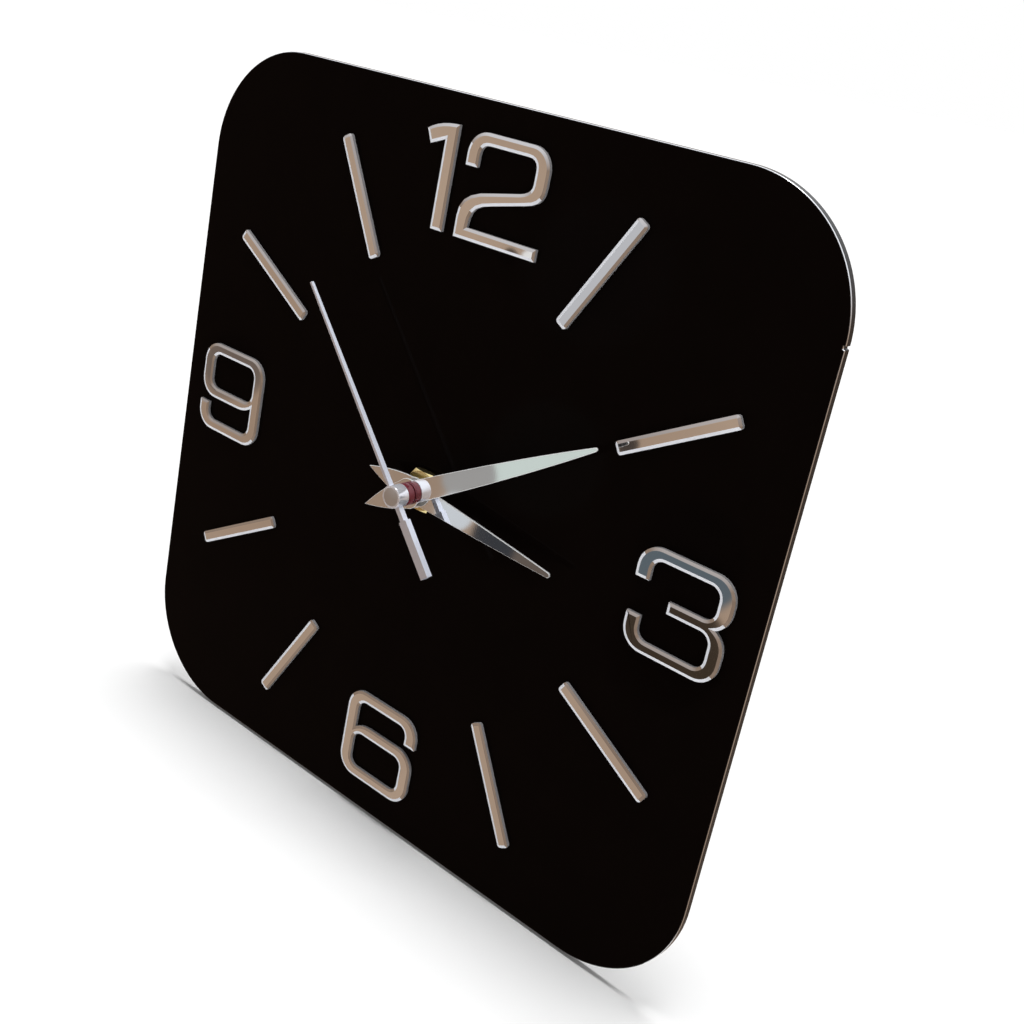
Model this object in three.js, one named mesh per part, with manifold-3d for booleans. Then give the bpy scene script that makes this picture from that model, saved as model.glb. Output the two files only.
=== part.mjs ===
// Square wall clock: a gloss acrylic dial with bonded mirror numerals, three sweep hands
// and a battery quartz movement on a hanger. All sizes are millimetres.
// The clock is drawn lying on its back: x runs to three o'clock, y to twelve o'clock and
// z out of the wall, with the hands' axis at x = y = 0 and the wall at z = 0. The group
// then stands it up, so that the dial faces -Y and twelve o'clock is at +Z.
import * as THREE from "three";
import { mergeVertices } from "three/addons/utils/BufferGeometryUtils.js";
import Module from "manifold-3d";

const wasm = await Module();
wasm.setup();

// ---------------------------------------------------------------- driving dimensions

const CLEARANCE = 0.3; // between pieces that lie on or in each other
const OVERRUN = 1; // how far a cutting tool runs past what it cuts
const SINK = 0.1; // how far joined solids run into each other
const SQUARE_CORNER = 0.01; // the radius of a corner that looks square
const ROUND_SEGMENTS = 24;
const LARGE_ROUND_SEGMENTS = 40;
const SMALL_ROUND_SEGMENTS = 12;
const SCALLOP_SEGMENTS = 8;

// Dial plate
const DIAL_SIDE = 280;
const DIAL_CORNER_RADIUS = 43;
const DIAL_THICKNESS = 3;
const EDGE_NICK_WIDTH = 0.9;
const EDGE_NICK_DEPTH = 0.7;

// Bonded numerals and bars
const MIRROR_THICKNESS = 1.5;
const NUMERAL_HEIGHT = 37;
const NUMERAL_WIDTH = 36.4;
const NUMERAL_ONE_WIDTH = 14.2;
const NUMERAL_PAIR_GAP = 5.5;
const UPRIGHT_STROKE = 5.4;
const LEVEL_STROKE = 4.2;
const NUMERAL_HEAD_GAP = 10.6; // from the dial's upper edge to the twelve
const NUMERAL_FOOT_GAP = 12.8; // from the dial's lower edge to the six
const NUMERAL_SIDE_GAP = 10.8; // from the dial's edge to the numeral at its side
const BAR_LENGTH = 46.4;
const BAR_WIDTH = 4.8;
const BAR_CORNER_RADIUS = 1.2;
const BAR_EDGE_GAP = 6.6; // shorter than the dial's half side by this, at the bar's outer end

// Time shown at rest
const SHOWN_HOUR = 3;
const SHOWN_MINUTE = 9;
const SHOWN_SECOND = 53;

// Hands. Heights are measured from the dial's front to the hand's front.
const HAND_THICKNESS = 0.8;
const HOUR_HAND_HEIGHT = 7.7;
const HOUR_HAND_LENGTH = 65;
const HOUR_HAND_TAIL = 23.2;
const HOUR_HUB_RADIUS = 5.7;
const HOUR_ROOT_HALF_WIDTH = 4;
const HOUR_BELLY_HALF_WIDTH = 2.6;
const HOUR_TIP_HALF_WIDTH = 0.95;
const HOUR_COLLET_DEPTH = 1;
const MINUTE_HAND_HEIGHT = 10.9;
const MINUTE_HAND_LENGTH = 86.2;
const MINUTE_HAND_TAIL = 22.6;
const MINUTE_HUB_RADIUS = 5.6;
const MINUTE_ROOT_HALF_WIDTH = 4.1;
const MINUTE_BELLY_HALF_WIDTH = 3.4;
const MINUTE_TIP_HALF_WIDTH = 0.7;
const MINUTE_COLLET_DEPTH = 1.5;
const COLLET_WALL = 0.9;
const SECOND_HAND_LENGTH = 85.2;
const SECOND_HAND_TAIL = 31.4;
const SECOND_BLADE_WIDTH = 1.15;
const SECOND_TIP_WIDTH = 0.85;
const SECOND_BLADE_DEPTH = 2.3;
const SECOND_TIP_DEPTH = 1.3;
const COUNTERWEIGHT_START = 9.5;
const COUNTERWEIGHT_WIDTH = 3.5;
const COUNTERWEIGHT_DEPTH = 2.6;
const STUB_WIDTH = 1.9;
const CAP_RADIUS = 4.2;
const CAP_DEPTH = 5.1;
const CAP_WALL = 0.6;
const CAP_CHAMFER = 0.25;
const RED_HUB_DEPTH = 3; // visible height of the second hand's hub under its cap
const RED_SPIGOT_RADIUS = 2.4;
const RED_SOCKET_DEPTH = 1; // takes the end of the minute tube
const SHAFT_IN_SPIGOT = 1.6; // of the seconds shaft, inside the hub's spigot

// Nested tubes that carry the hands
const SECONDS_SHAFT_RADIUS = 0.5;
const MINUTE_TUBE_RADIUS = 1.6;
const HOUR_TUBE_RADIUS = 2.5;
const BUSH_RADIUS = 4;
const BUSH_FLANGE_RADIUS = 6.5;
const BUSH_FLANGE_THICKNESS = 0.8;
const BUSH_PROUD = 1.3; // threads left showing above the nut
const BUSH_CHAMFER = 0.4;

// Fastening stack
const HANGER_THICKNESS = 0.8;
const HANGER_WIDTH = 15;
const HANGER_BELOW_AXIS = 11;
const HANGER_CORNER_RADIUS = 5;
const HANGER_EYE_RADIUS = 4;
const HANGER_SLOT_WIDTH = 4.6;
const HANGER_SLOT_RISE = 5;
const HANGER_EYE_MARGIN = 4;
const HANGER_WALL_GAP = 1;
const GASKET_RADIUS = 12;
const GASKET_THICKNESS = 0.8;
const WASHER_RADIUS = 6.8;
const WASHER_THICKNESS = 0.5;
const NUT_ACROSS_FLATS = 14.8;
const NUT_THICKNESS = 3;
const NUT_CHAMFER = 0.6;

// Battery and movement case
const BATTERY_RADIUS = 7.25;
const BATTERY_LENGTH = 50.5;
const BATTERY_EDGE = 0.6;
const BATTERY_NUB_RADIUS = 2.75;
const BATTERY_NUB_LENGTH = 1.3;
const BATTERY_WALL_GAP = 0.6; // from the wall to the battery
const BATTERY_SIDE_GAP = 0.45;
const CONTACT_ROOM = 1.55; // at each end of the battery
const CONTACT_THICKNESS = 0.4;
const CONTACT_HALF_WIDTH = 5;
const CONTACT_STRIP_WIDTH = 1;
const BUTTON_FOOT_RADIUS = 3;
const BUTTON_TIP_RADIUS = 1.6;
const POSITIVE_BUTTON_HEIGHT = 0.2;
const NEGATIVE_BUTTON_HEIGHT = 0.6;
const CASE_WALL = 1.2;
const CASE_CORNER_RADIUS = 3;
const BAY_WALL = 1;
const COVER_THICKNESS = 1.5;
const PIVOT_RADIUS = 0.35;
const PIVOT_HOLE_RADIUS = 0.65;
const PIVOT_DEPTH = 0.8;
const PIVOT_END_GAP = 0.2;
const KNOB_RADIUS = 6;
const KNOB_STEM_RADIUS = 1.5;
const KNOB_THICKNESS = 1.6;
const KNOB_WALL_GAP = 0.3;
const KNOB_SCALLOPS = 12;
const SCALLOP_RADIUS = 0.8;
const SCALLOP_INSET = 0.45; // how far a scallop bites into the knob's rim

// Wheels
const WHEEL_THICKNESS = 0.8;
const WHEEL_LEVEL_GAP = 0.6;
const MOTION_LEVEL_GAP = 0.5;
const ARBOR_RADIUS = 0.6;
const TRAIN_CENTRES = 10.2; // from the hands' axis to the third and intermediate wheels
const MOTION_CENTRES = 9; // from the hands' axis to the motion wheel
const ROTOR_CENTRES = 8.75; // from the intermediate wheel to the rotor
const ROTOR_PINION_TEETH = 10;
const INTERMEDIATE_WHEEL_TEETH = 60;
const INTERMEDIATE_PINION_TEETH = 10;
const SECONDS_WHEEL_TEETH = 50;
const SECONDS_PINION_TEETH = 8;
const THIRD_WHEEL_TEETH = 60;
const THIRD_PINION_TEETH = 8;
const MINUTE_WHEEL_TEETH = 64;
const CANNON_PINION_TEETH = 12;
const MOTION_WHEEL_TEETH = 36;
const MOTION_PINION_TEETH = 10;
const HOUR_WHEEL_TEETH = 40;
const KNOB_PINION_TEETH = 14;
const TOOTH_ADDENDUM = 0.75; // of the module
const TOOTH_DEDENDUM = 1.15; // of the module
const TOOTH_TIP_HALF = 0.1; // of the pitch angle
const TOOTH_ROOT_HALF = 0.29; // of the pitch angle
const INTERMEDIATE_ANGLE = THREE.MathUtils.degToRad(150);
const ROTOR_ANGLE = THREE.MathUtils.degToRad(170);
const THIRD_ANGLE = THREE.MathUtils.degToRad(90);
const MOTION_ANGLE = THREE.MathUtils.degToRad(-10);
const KNOB_ANGLE = THREE.MathUtils.degToRad(60);

// Motor and circuit
const GEAR_PLATE_THICKNESS = 0.8;
const GEAR_PLATE_SIDE_MARGIN = 2.5;
const GEAR_PLATE_TOP_MARGIN = 4;
const CLUTCH_RADIUS = 3.2;
const CLUTCH_THICKNESS = 0.6;
const MAGNET_RADIUS = 2.2;
const MAGNET_LENGTH = 2;
const STATOR_THICKNESS = 0.8;
const STATOR_HALF_WIDTH = 3.3;
const STATOR_TAB = 3.1;
const ROTOR_AIR_GAP = 0.5;
const COIL_RADIUS = 2.4;
const COIL_LENGTH = 19.4;
const BOBBIN_CORE_HALF = 1.2;
const BOBBIN_FLANGE_HALF = 2.7;
const BOBBIN_FLANGE = 0.8;
const BOARD_THICKNESS = 1;
const BOARD_WIDTH = 11;
const BOARD_FRONT_GAP = 1.2;
const CRYSTAL_RADIUS = 1;
const CRYSTAL_LENGTH = 6;
const CHIP_RADIUS = 3;
const CHIP_HEIGHT = 1.2;

// ---------------------------------------------------------------- materials

const finish = (color, roughness, metalness) =>
  new THREE.MeshStandardMaterial({ color, roughness, metalness });

const BLACK_ACRYLIC = finish(0x050506, 0.06, 0);
const MIRROR_ACRYLIC = finish(0xb9a893, 0.05, 1);
const POLISHED_ALUMINIUM = finish(0xd3d8da, 0.12, 1);
const SILVER = finish(0xc4c5c9, 0.15, 1);
const RED_PLASTIC = finish(0x4a0c12, 0.3, 0);
const BRASS = finish(0xc9ac5c, 0.28, 1);
const BLACK_PLASTIC = finish(0x17181a, 0.6, 0);
const WHITE_PLASTIC = finish(0xe6e4dc, 0.5, 0);
const RUBBER = finish(0x111111, 0.85, 0);
const STEEL = finish(0xb4b7ba, 0.35, 1);
const COPPER_WIRE = finish(0xa6502a, 0.4, 0.8);
const BOARD_GREEN = finish(0x2d6b3a, 0.5, 0);
const EPOXY = finish(0x0c0c0d, 0.4, 0);
const MAGNET = finish(0x55585c, 0.4, 0.8);
const BATTERY_WRAP = finish(0x30343b, 0.3, 0.2);

// ---------------------------------------------------------------- solid helpers

function solidOf(geometry) {
  const bare = geometry.clone();
  bare.deleteAttribute("normal");
  bare.deleteAttribute("uv");
  const merged = mergeVertices(bare, 1e-4);
  const mesh = new wasm.Mesh({
    numProp: 3,
    vertProperties: new Float32Array(merged.attributes.position.array),
    triVerts: new Uint32Array(merged.index.array),
  });
  return new wasm.Manifold(mesh);
}

function geometryOf(solid) {
  const mesh = solid.getMesh();
  const geometry = new THREE.BufferGeometry();
  geometry.setAttribute("position", new THREE.BufferAttribute(mesh.vertProperties, 3));
  geometry.setIndex(new THREE.BufferAttribute(mesh.triVerts, 1));
  geometry.computeVertexNormals();
  return geometry;
}

function join(...geometries) {
  return geometryOf(geometries.map(solidOf).reduce((whole, next) => whole.add(next)));
}

function cut(body, ...tools) {
  const uncut = solidOf(body);
  return geometryOf(tools.map(solidOf).reduce((left, tool) => left.subtract(tool), uncut));
}

function common(first, second) {
  return geometryOf(solidOf(first).intersect(solidOf(second)));
}

// A flat shape given thickness, between two heights.
function slab(shape, low, high, curveSegments = 4) {
  const settings = { depth: high - low, bevelEnabled: false, curveSegments };
  return new THREE.ExtrudeGeometry(shape, settings).translate(0, 0, low);
}

function disc(radius, low, high, segments = ROUND_SEGMENTS) {
  const geometry = new THREE.CylinderGeometry(radius, radius, high - low, segments);
  return geometry.rotateX(Math.PI / 2).translate(0, 0, (low + high) / 2);
}

// A solid of revolution about z. The outline lists [radius, height] from the lowest point
// on the axis round to the highest one.
function turned(outline, segments = ROUND_SEGMENTS) {
  const points = outline.map(([radius, height]) => new THREE.Vector2(radius, height));
  return new THREE.LatheGeometry(points, segments).rotateX(Math.PI / 2);
}

function tube(outer, inner, low, high, segments = ROUND_SEGMENTS) {
  const outline = [
    [inner, low],
    [outer, low],
    [outer, high],
    [inner, high],
    [inner, low],
  ];
  return turned(outline, segments);
}

function block(low, high) {
  const size = high.map((value, axis) => value - low[axis]);
  const middle = high.map((value, axis) => (value + low[axis]) / 2);
  return new THREE.BoxGeometry(...size).translate(...middle);
}

// A rectangle whose corners are rounded by their own radii: upper left, upper right,
// lower right and lower left.
function roundedRectangle(left, bottom, right, top, radii) {
  const [upperLeft, upperRight, lowerRight, lowerLeft] = radii;
  const shape = new THREE.Shape();
  shape.moveTo(left + lowerLeft, bottom);
  shape.lineTo(right - lowerRight, bottom);
  shape.absarc(right - lowerRight, bottom + lowerRight, lowerRight, -Math.PI / 2, 0);
  shape.lineTo(right, top - upperRight);
  shape.absarc(right - upperRight, top - upperRight, upperRight, 0, Math.PI / 2);
  shape.lineTo(left + upperLeft, top);
  shape.absarc(left + upperLeft, top - upperLeft, upperLeft, Math.PI / 2, Math.PI);
  shape.lineTo(left, bottom + lowerLeft);
  shape.absarc(left + lowerLeft, bottom + lowerLeft, lowerLeft, Math.PI, 1.5 * Math.PI);
  return shape;
}

function evenRectangle(halfWidth, bottom, top, radius) {
  return roundedRectangle(-halfWidth, bottom, halfWidth, top, Array(4).fill(radius));
}

const polar = (distance, angle) =>
  new THREE.Vector2(distance * Math.cos(angle), distance * Math.sin(angle));

// ---------------------------------------------------------------- the assembly

const clock = new THREE.Group();
clock.rotation.x = Math.PI / 2;

function piece(name, geometry, material, at = new THREE.Vector2(), turn = 0) {
  const mesh = new THREE.Mesh(geometry, material);
  mesh.name = name;
  mesh.position.set(at.x, at.y, 0);
  mesh.rotation.z = turn;
  clock.add(mesh);
}

// ---------------------------------------------------------------- wheel teeth

const moduleOf = (centres, teeth, otherTeeth) => (2 * centres) / (teeth + otherTeeth);
const tipRadius = (teeth, module) => module * (teeth / 2 + TOOTH_ADDENDUM);

// A toothed wheel whose first tooth points along x before it is turned by its phase.
function toothed(teeth, module, low, high, phase = 0) {
  const pitch = (2 * Math.PI) / teeth;
  const tip = tipRadius(teeth, module);
  const root = module * (teeth / 2 - TOOTH_DEDENDUM);
  const corners = [
    [root, -TOOTH_ROOT_HALF],
    [tip, -TOOTH_TIP_HALF],
    [tip, TOOTH_TIP_HALF],
    [root, TOOTH_ROOT_HALF],
  ];
  const points = [];
  for (let tooth = 0; tooth < teeth; tooth += 1) {
    for (const [radius, share] of corners) {
      points.push(polar(radius, phase + (tooth + share) * pitch));
    }
  }
  return slab(new THREE.Shape(points), low, high);
}

// The phase that puts a wheel's tooth gap against its neighbour's tooth. The neighbour
// has the given teeth and phase, and the wheel lies from it in the given direction.
function meshPhase(neighbourTeeth, neighbourPhase, direction, teeth) {
  const shift = ((direction - neighbourPhase) * neighbourTeeth) / (2 * Math.PI);
  return direction + Math.PI - ((0.5 - shift) * 2 * Math.PI) / teeth;
}

const trainModule = moduleOf(TRAIN_CENTRES, SECONDS_PINION_TEETH, THIRD_WHEEL_TEETH);
const minuteModule = moduleOf(TRAIN_CENTRES, THIRD_PINION_TEETH, MINUTE_WHEEL_TEETH);
const driveModule = moduleOf(TRAIN_CENTRES, INTERMEDIATE_PINION_TEETH, SECONDS_WHEEL_TEETH);
const rotorModule = moduleOf(ROTOR_CENTRES, ROTOR_PINION_TEETH, INTERMEDIATE_WHEEL_TEETH);
const motionModule = moduleOf(MOTION_CENTRES, CANNON_PINION_TEETH, MOTION_WHEEL_TEETH);
const hourModule = moduleOf(MOTION_CENTRES, MOTION_PINION_TEETH, HOUR_WHEEL_TEETH);
const knobCentres = (motionModule * (MOTION_WHEEL_TEETH + KNOB_PINION_TEETH)) / 2;

const thirdAt = polar(TRAIN_CENTRES, THIRD_ANGLE);
const intermediateAt = polar(TRAIN_CENTRES, INTERMEDIATE_ANGLE);
const rotorAt = intermediateAt.clone().add(polar(ROTOR_CENTRES, ROTOR_ANGLE));
const motionAt = polar(MOTION_CENTRES, MOTION_ANGLE);
const knobAt = motionAt.clone().add(polar(knobCentres, KNOB_ANGLE));

// ---------------------------------------------------------------- plan of the movement

const coilX = rotorAt.x - STATOR_HALF_WIDTH - CLEARANCE - BOBBIN_FLANGE_HALF;
const coilOuter = BOBBIN_FLANGE_HALF + CLEARANCE + CASE_WALL - coilX;
const bayHalfWidth = BATTERY_LENGTH / 2 + CONTACT_ROOM;
const caseHalfWidth = Math.max(bayHalfWidth + CASE_WALL, coilOuter);
const minuteWheelReach = tipRadius(MINUTE_WHEEL_TEETH, minuteModule);
const bayTop = -(minuteWheelReach + 2 * CLEARANCE + BAY_WALL);
const bayBottom = bayTop - 2 * (BATTERY_RADIUS + BATTERY_SIDE_GAP);
const caseBottom = bayBottom - CASE_WALL;
const caseTop = -caseBottom;
const batteryY = (bayTop + bayBottom) / 2;
const innerHalfWidth = caseHalfWidth - CASE_WALL;
const innerTop = caseTop - CASE_WALL;

// Heights inside the movement, from the back cover to the front.
const thirdWheelZ = COVER_THICKNESS + 2 * WHEEL_LEVEL_GAP;
const intermediateWheelZ = thirdWheelZ + WHEEL_THICKNESS + WHEEL_LEVEL_GAP;
const secondsWheelZ = intermediateWheelZ + WHEEL_THICKNESS + WHEEL_LEVEL_GAP;
const clutchZ = secondsWheelZ + WHEEL_THICKNESS + WHEEL_LEVEL_GAP;
const minuteWheelZ = clutchZ + CLUTCH_THICKNESS + CLEARANCE;
const gearPlateZ = minuteWheelZ + WHEEL_THICKNESS + WHEEL_LEVEL_GAP;
const gearPlateTop = gearPlateZ + GEAR_PLATE_THICKNESS;
const motionLevels = 2 * (WHEEL_THICKNESS + MOTION_LEVEL_GAP) + MOTION_LEVEL_GAP;
const flangeLevel = BUSH_FLANGE_THICKNESS + CLEARANCE;
const trainDepth = gearPlateTop + motionLevels + flangeLevel + CASE_WALL;
const batteryDepth = BATTERY_WALL_GAP + 2 * BATTERY_RADIUS + CLEARANCE + CASE_WALL;
const movementFront = Math.max(trainDepth, batteryDepth);
const innerFront = movementFront - CASE_WALL;
const flangeTop = innerFront - CLEARANCE;
const flangeZ = flangeTop - BUSH_FLANGE_THICKNESS;
const hourWheelZ = flangeZ - MOTION_LEVEL_GAP - WHEEL_THICKNESS;
const motionWheelZ = hourWheelZ - MOTION_LEVEL_GAP - WHEEL_THICKNESS;

// Heights of the fastening stack and the hands, from the movement to the front.
const hangerZ = movementFront + CLEARANCE;
const gasketZ = hangerZ + HANGER_THICKNESS + CLEARANCE;
const dialZ = gasketZ + GASKET_THICKNESS + CLEARANCE;
const dialFront = dialZ + DIAL_THICKNESS;
const mirrorZ = dialFront + CLEARANCE;
const washerZ = dialFront + CLEARANCE;
const nutZ = washerZ + WASHER_THICKNESS + CLEARANCE;
const bushTop = nutZ + NUT_THICKNESS + BUSH_PROUD;
const hourHandFront = dialFront + HOUR_HAND_HEIGHT;
const hourHandBack = hourHandFront - HAND_THICKNESS;
const minuteHandFront = dialFront + MINUTE_HAND_HEIGHT;
const minuteHandBack = minuteHandFront - HAND_THICKNESS;
const redHubZ = minuteHandFront + CLEARANCE;
const redHubTop = redHubZ + RED_HUB_DEPTH;
const capZ = redHubTop + CLEARANCE / 2;
const capFront = capZ + CAP_DEPTH;
const secondHandFront = capFront - CAP_WALL - CLEARANCE;

// ---------------------------------------------------------------- dial plate

function dialPlate() {
  const half = DIAL_SIDE / 2;
  const shape = evenRectangle(half, -half, half, DIAL_CORNER_RADIUS);
  const bore = BUSH_RADIUS + CLEARANCE;
  const hole = disc(bore, dialZ - OVERRUN, dialFront + OVERRUN);
  const nickAt = half - DIAL_CORNER_RADIUS;
  const nick = block(
    [half - EDGE_NICK_DEPTH, nickAt - EDGE_NICK_WIDTH / 2, dialZ - OVERRUN],
    [half + OVERRUN, nickAt + EDGE_NICK_WIDTH / 2, dialFront + OVERRUN],
  );
  return cut(slab(shape, dialZ, dialFront, 10), hole, nick);
}

piece("dial_plate", dialPlate(), BLACK_ACRYLIC);

// ---------------------------------------------------------------- hour bars

const mirrorTop = mirrorZ + MIRROR_THICKNESS;

function hourBars() {
  const outerEnd = DIAL_SIDE / 2 - BAR_EDGE_GAP;
  const shape = evenRectangle(
    BAR_WIDTH / 2,
    outerEnd - BAR_LENGTH,
    outerEnd,
    BAR_CORNER_RADIUS,
  );
  for (const hour of [1, 2, 4, 5, 7, 8, 10, 11]) {
    const name = "hour_bar_" + String(hour).padStart(2, "0");
    const turn = -THREE.MathUtils.degToRad(30 * hour);
    const geometry = slab(shape, mirrorZ, mirrorTop, 3);
    piece(name, geometry, MIRROR_ACRYLIC, new THREE.Vector2(), turn);
  }
}

hourBars();

// ---------------------------------------------------------------- numerals

// Each numeral is drawn with its lower left corner at x = y = 0.
const OUTER_CURVE = 8;
const INNER_CURVE = 4;

// A rounded rectangular loop of stroke, with its own lower and upper stroke widths.
function strokeLoop(bottom, top, lowerStroke, upperStroke, radii) {
  const outer = roundedRectangle(0, bottom, NUMERAL_WIDTH, top, radii);
  const inner = roundedRectangle(
    UPRIGHT_STROKE,
    bottom + lowerStroke,
    NUMERAL_WIDTH - UPRIGHT_STROKE,
    top - upperStroke,
    Array(4).fill(INNER_CURVE),
  );
  outer.holes.push(inner);
  return slab(outer, mirrorZ, mirrorTop);
}

const clearOf = (left, bottom, right, top) =>
  block([left, bottom, mirrorZ - OVERRUN], [right, top, mirrorTop + OVERRUN]);

// The stem with a flag that sweeps down to the left from its head.
function numeralOne() {
  const stemLeft = NUMERAL_ONE_WIDTH - UPRIGHT_STROKE;
  const headLeft = NUMERAL_ONE_WIDTH - 0.3 * UPRIGHT_STROKE;
  const sweep = new THREE.Vector2(0.55 * stemLeft, NUMERAL_HEIGHT - 0.1 * LEVEL_STROKE);
  const flagTop = NUMERAL_HEIGHT - 0.86 * LEVEL_STROKE;
  const flagTip = new THREE.Vector2(0.27 * stemLeft, NUMERAL_HEIGHT - 2 * LEVEL_STROKE);
  const shape = new THREE.Shape();
  shape.moveTo(stemLeft, 0);
  shape.lineTo(NUMERAL_ONE_WIDTH, 0);
  shape.lineTo(NUMERAL_ONE_WIDTH, NUMERAL_HEIGHT);
  shape.lineTo(headLeft, NUMERAL_HEIGHT);
  shape.quadraticCurveTo(sweep.x, sweep.y, 0, flagTop);
  shape.lineTo(flagTip.x, flagTip.y);
  shape.lineTo(stemLeft, NUMERAL_HEIGHT - 1.4 * LEVEL_STROKE);
  return slab(shape, mirrorZ, mirrorTop, 5);
}

// The hook, the bend at the right, the slope back to the left and the foot. Its curves
// are given as shares of the numeral's own width and height.
function numeralTwo() {
  const width = NUMERAL_WIDTH;
  const height = NUMERAL_HEIGHT;
  const right = width - 0.02 * width;
  const innerRight = right - UPRIGHT_STROKE;
  const innerLeft = UPRIGHT_STROKE + INNER_CURVE;
  const ceiling = height - LEVEL_STROKE;
  const hookEnd = 0.67 * height;
  const bendFoot = new THREE.Vector2(0.78 * width, 0.46 * height);
  const bendTop = new THREE.Vector2(0.7 * width, 0.55 * height);
  const bendStart = 0.66 * height;
  const slopeEnd = 0.37 * height;
  const arc = { radius: OUTER_CURVE, y: height - OUTER_CURVE };
  const shape = new THREE.Shape();
  shape.moveTo(0, 0);
  shape.lineTo(width, 0);
  shape.lineTo(width, LEVEL_STROKE);
  shape.lineTo(UPRIGHT_STROKE, LEVEL_STROKE);
  const swellIn = [UPRIGHT_STROKE, 0.27 * height, 0.2 * width, 0.33 * height];
  shape.bezierCurveTo(...swellIn, 0.4 * width, slopeEnd);
  shape.lineTo(bendFoot.x, bendFoot.y);
  const bendOut = [0.93 * width, 0.49 * height, right, 0.55 * height];
  shape.bezierCurveTo(...bendOut, right, bendStart);
  shape.lineTo(right, arc.y);
  shape.absarc(right - arc.radius, arc.y, arc.radius, 0, Math.PI / 2);
  shape.lineTo(arc.radius, height);
  shape.absarc(arc.radius, arc.y, arc.radius, Math.PI / 2, Math.PI);
  shape.lineTo(0, hookEnd);
  shape.lineTo(UPRIGHT_STROKE, hookEnd);
  shape.lineTo(UPRIGHT_STROKE, ceiling - INNER_CURVE);
  shape.quadraticCurveTo(UPRIGHT_STROKE, ceiling, innerLeft, ceiling);
  shape.lineTo(innerRight - INNER_CURVE, ceiling);
  shape.quadraticCurveTo(innerRight, ceiling, innerRight, ceiling - INNER_CURVE);
  shape.lineTo(innerRight, bendStart);
  shape.quadraticCurveTo(innerRight, 0.58 * height, bendTop.x, bendTop.y);
  shape.lineTo(0.38 * width, slopeEnd + LEVEL_STROKE);
  const swellOut = [0.12 * width, 0.44 * height, 0, 0.36 * height];
  shape.bezierCurveTo(...swellOut, 0, 0.2 * height);
  shape.lineTo(0, 0);
  return slab(shape, mirrorZ, mirrorTop, 5);
}

// Two loops that share the waist, each opened at the left.
function numeralThree() {
  const waist = 0.513 * NUMERAL_HEIGHT;
  const pinch = 0.2 * LEVEL_STROKE;
  const waistStroke = LEVEL_STROKE / 2 + pinch;
  const waistLow = waist - pinch;
  const waistHigh = waist + pinch;
  const barStart = 0.39 * NUMERAL_WIDTH;
  const hook = 0.33 * NUMERAL_HEIGHT;
  const radii = Array(4).fill(OUTER_CURVE);
  const upper = strokeLoop(waistLow, NUMERAL_HEIGHT, waistStroke, LEVEL_STROKE, radii);
  const lower = strokeLoop(0, waistHigh, LEVEL_STROKE, waistStroke, radii);
  const openUpper = clearOf(-OVERRUN, waistLow - OVERRUN, barStart, NUMERAL_HEIGHT - hook);
  const openLower = clearOf(-OVERRUN, hook, barStart, waistHigh + OVERRUN);
  return join(cut(upper, openUpper), cut(lower, openLower));
}

function numeralSix() {
  const bowlTop = 0.625 * NUMERAL_HEIGHT;
  const hookEnd = 0.7 * NUMERAL_HEIGHT;
  const round = Array(4).fill(OUTER_CURVE);
  const bowlRadii = [1.6 * OUTER_CURVE, OUTER_CURVE, OUTER_CURVE, OUTER_CURVE];
  const whole = strokeLoop(0, NUMERAL_HEIGHT, LEVEL_STROKE, LEVEL_STROKE, round);
  const open = clearOf(UPRIGHT_STROKE, -OVERRUN, NUMERAL_WIDTH + OVERRUN, hookEnd);
  const bowl = strokeLoop(0, bowlTop, LEVEL_STROKE, LEVEL_STROKE, bowlRadii);
  return join(cut(whole, open), bowl);
}

function numeralNine() {
  const six = numeralSix();
  return six.rotateZ(Math.PI).translate(NUMERAL_WIDTH, NUMERAL_HEIGHT, 0);
}

function numerals() {
  const half = DIAL_SIDE / 2;
  const pairWidth = NUMERAL_ONE_WIDTH + NUMERAL_PAIR_GAP + NUMERAL_WIDTH;
  const upperFoot = half - NUMERAL_HEAD_GAP - NUMERAL_HEIGHT;
  const oneAt = new THREE.Vector2(-pairWidth / 2, upperFoot);
  const twoAt = new THREE.Vector2(pairWidth / 2 - NUMERAL_WIDTH, upperFoot);
  const sideX = half - NUMERAL_SIDE_GAP - NUMERAL_WIDTH;
  const threeAt = new THREE.Vector2(sideX, -NUMERAL_HEIGHT / 2);
  const nineAt = new THREE.Vector2(-sideX - NUMERAL_WIDTH, -NUMERAL_HEIGHT / 2);
  const sixAt = new THREE.Vector2(-NUMERAL_WIDTH / 2, NUMERAL_FOOT_GAP - half);
  piece("numeral_12_one", numeralOne(), MIRROR_ACRYLIC, oneAt);
  piece("numeral_12_two", numeralTwo(), MIRROR_ACRYLIC, twoAt);
  piece("numeral_3", numeralThree(), MIRROR_ACRYLIC, threeAt);
  piece("numeral_6", numeralSix(), MIRROR_ACRYLIC, sixAt);
  piece("numeral_9", numeralNine(), MIRROR_ACRYLIC, nineAt);
}

numerals();

// ---------------------------------------------------------------- fastening stack

function hexagonNut() {
  const cornerRadius = NUT_ACROSS_FLATS / Math.sqrt(3);
  const corners = [];
  for (let corner = 0; corner < 6; corner += 1) {
    corners.push(polar(cornerRadius, (corner * Math.PI) / 3));
  }
  const top = nutZ + NUT_THICKNESS;
  const prism = slab(new THREE.Shape(corners), nutZ, top);
  const chamfered = turned(
    [
      [0, nutZ - OVERRUN],
      [cornerRadius + OVERRUN, nutZ - OVERRUN],
      [cornerRadius + OVERRUN, top - NUT_CHAMFER],
      [NUT_ACROSS_FLATS / 2, top],
      [0, top],
    ],
    LARGE_ROUND_SEGMENTS,
  );
  const bore = disc(BUSH_RADIUS + CLEARANCE / 2, nutZ - OVERRUN, top + OVERRUN);
  return cut(common(prism, chamfered), bore);
}

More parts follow.
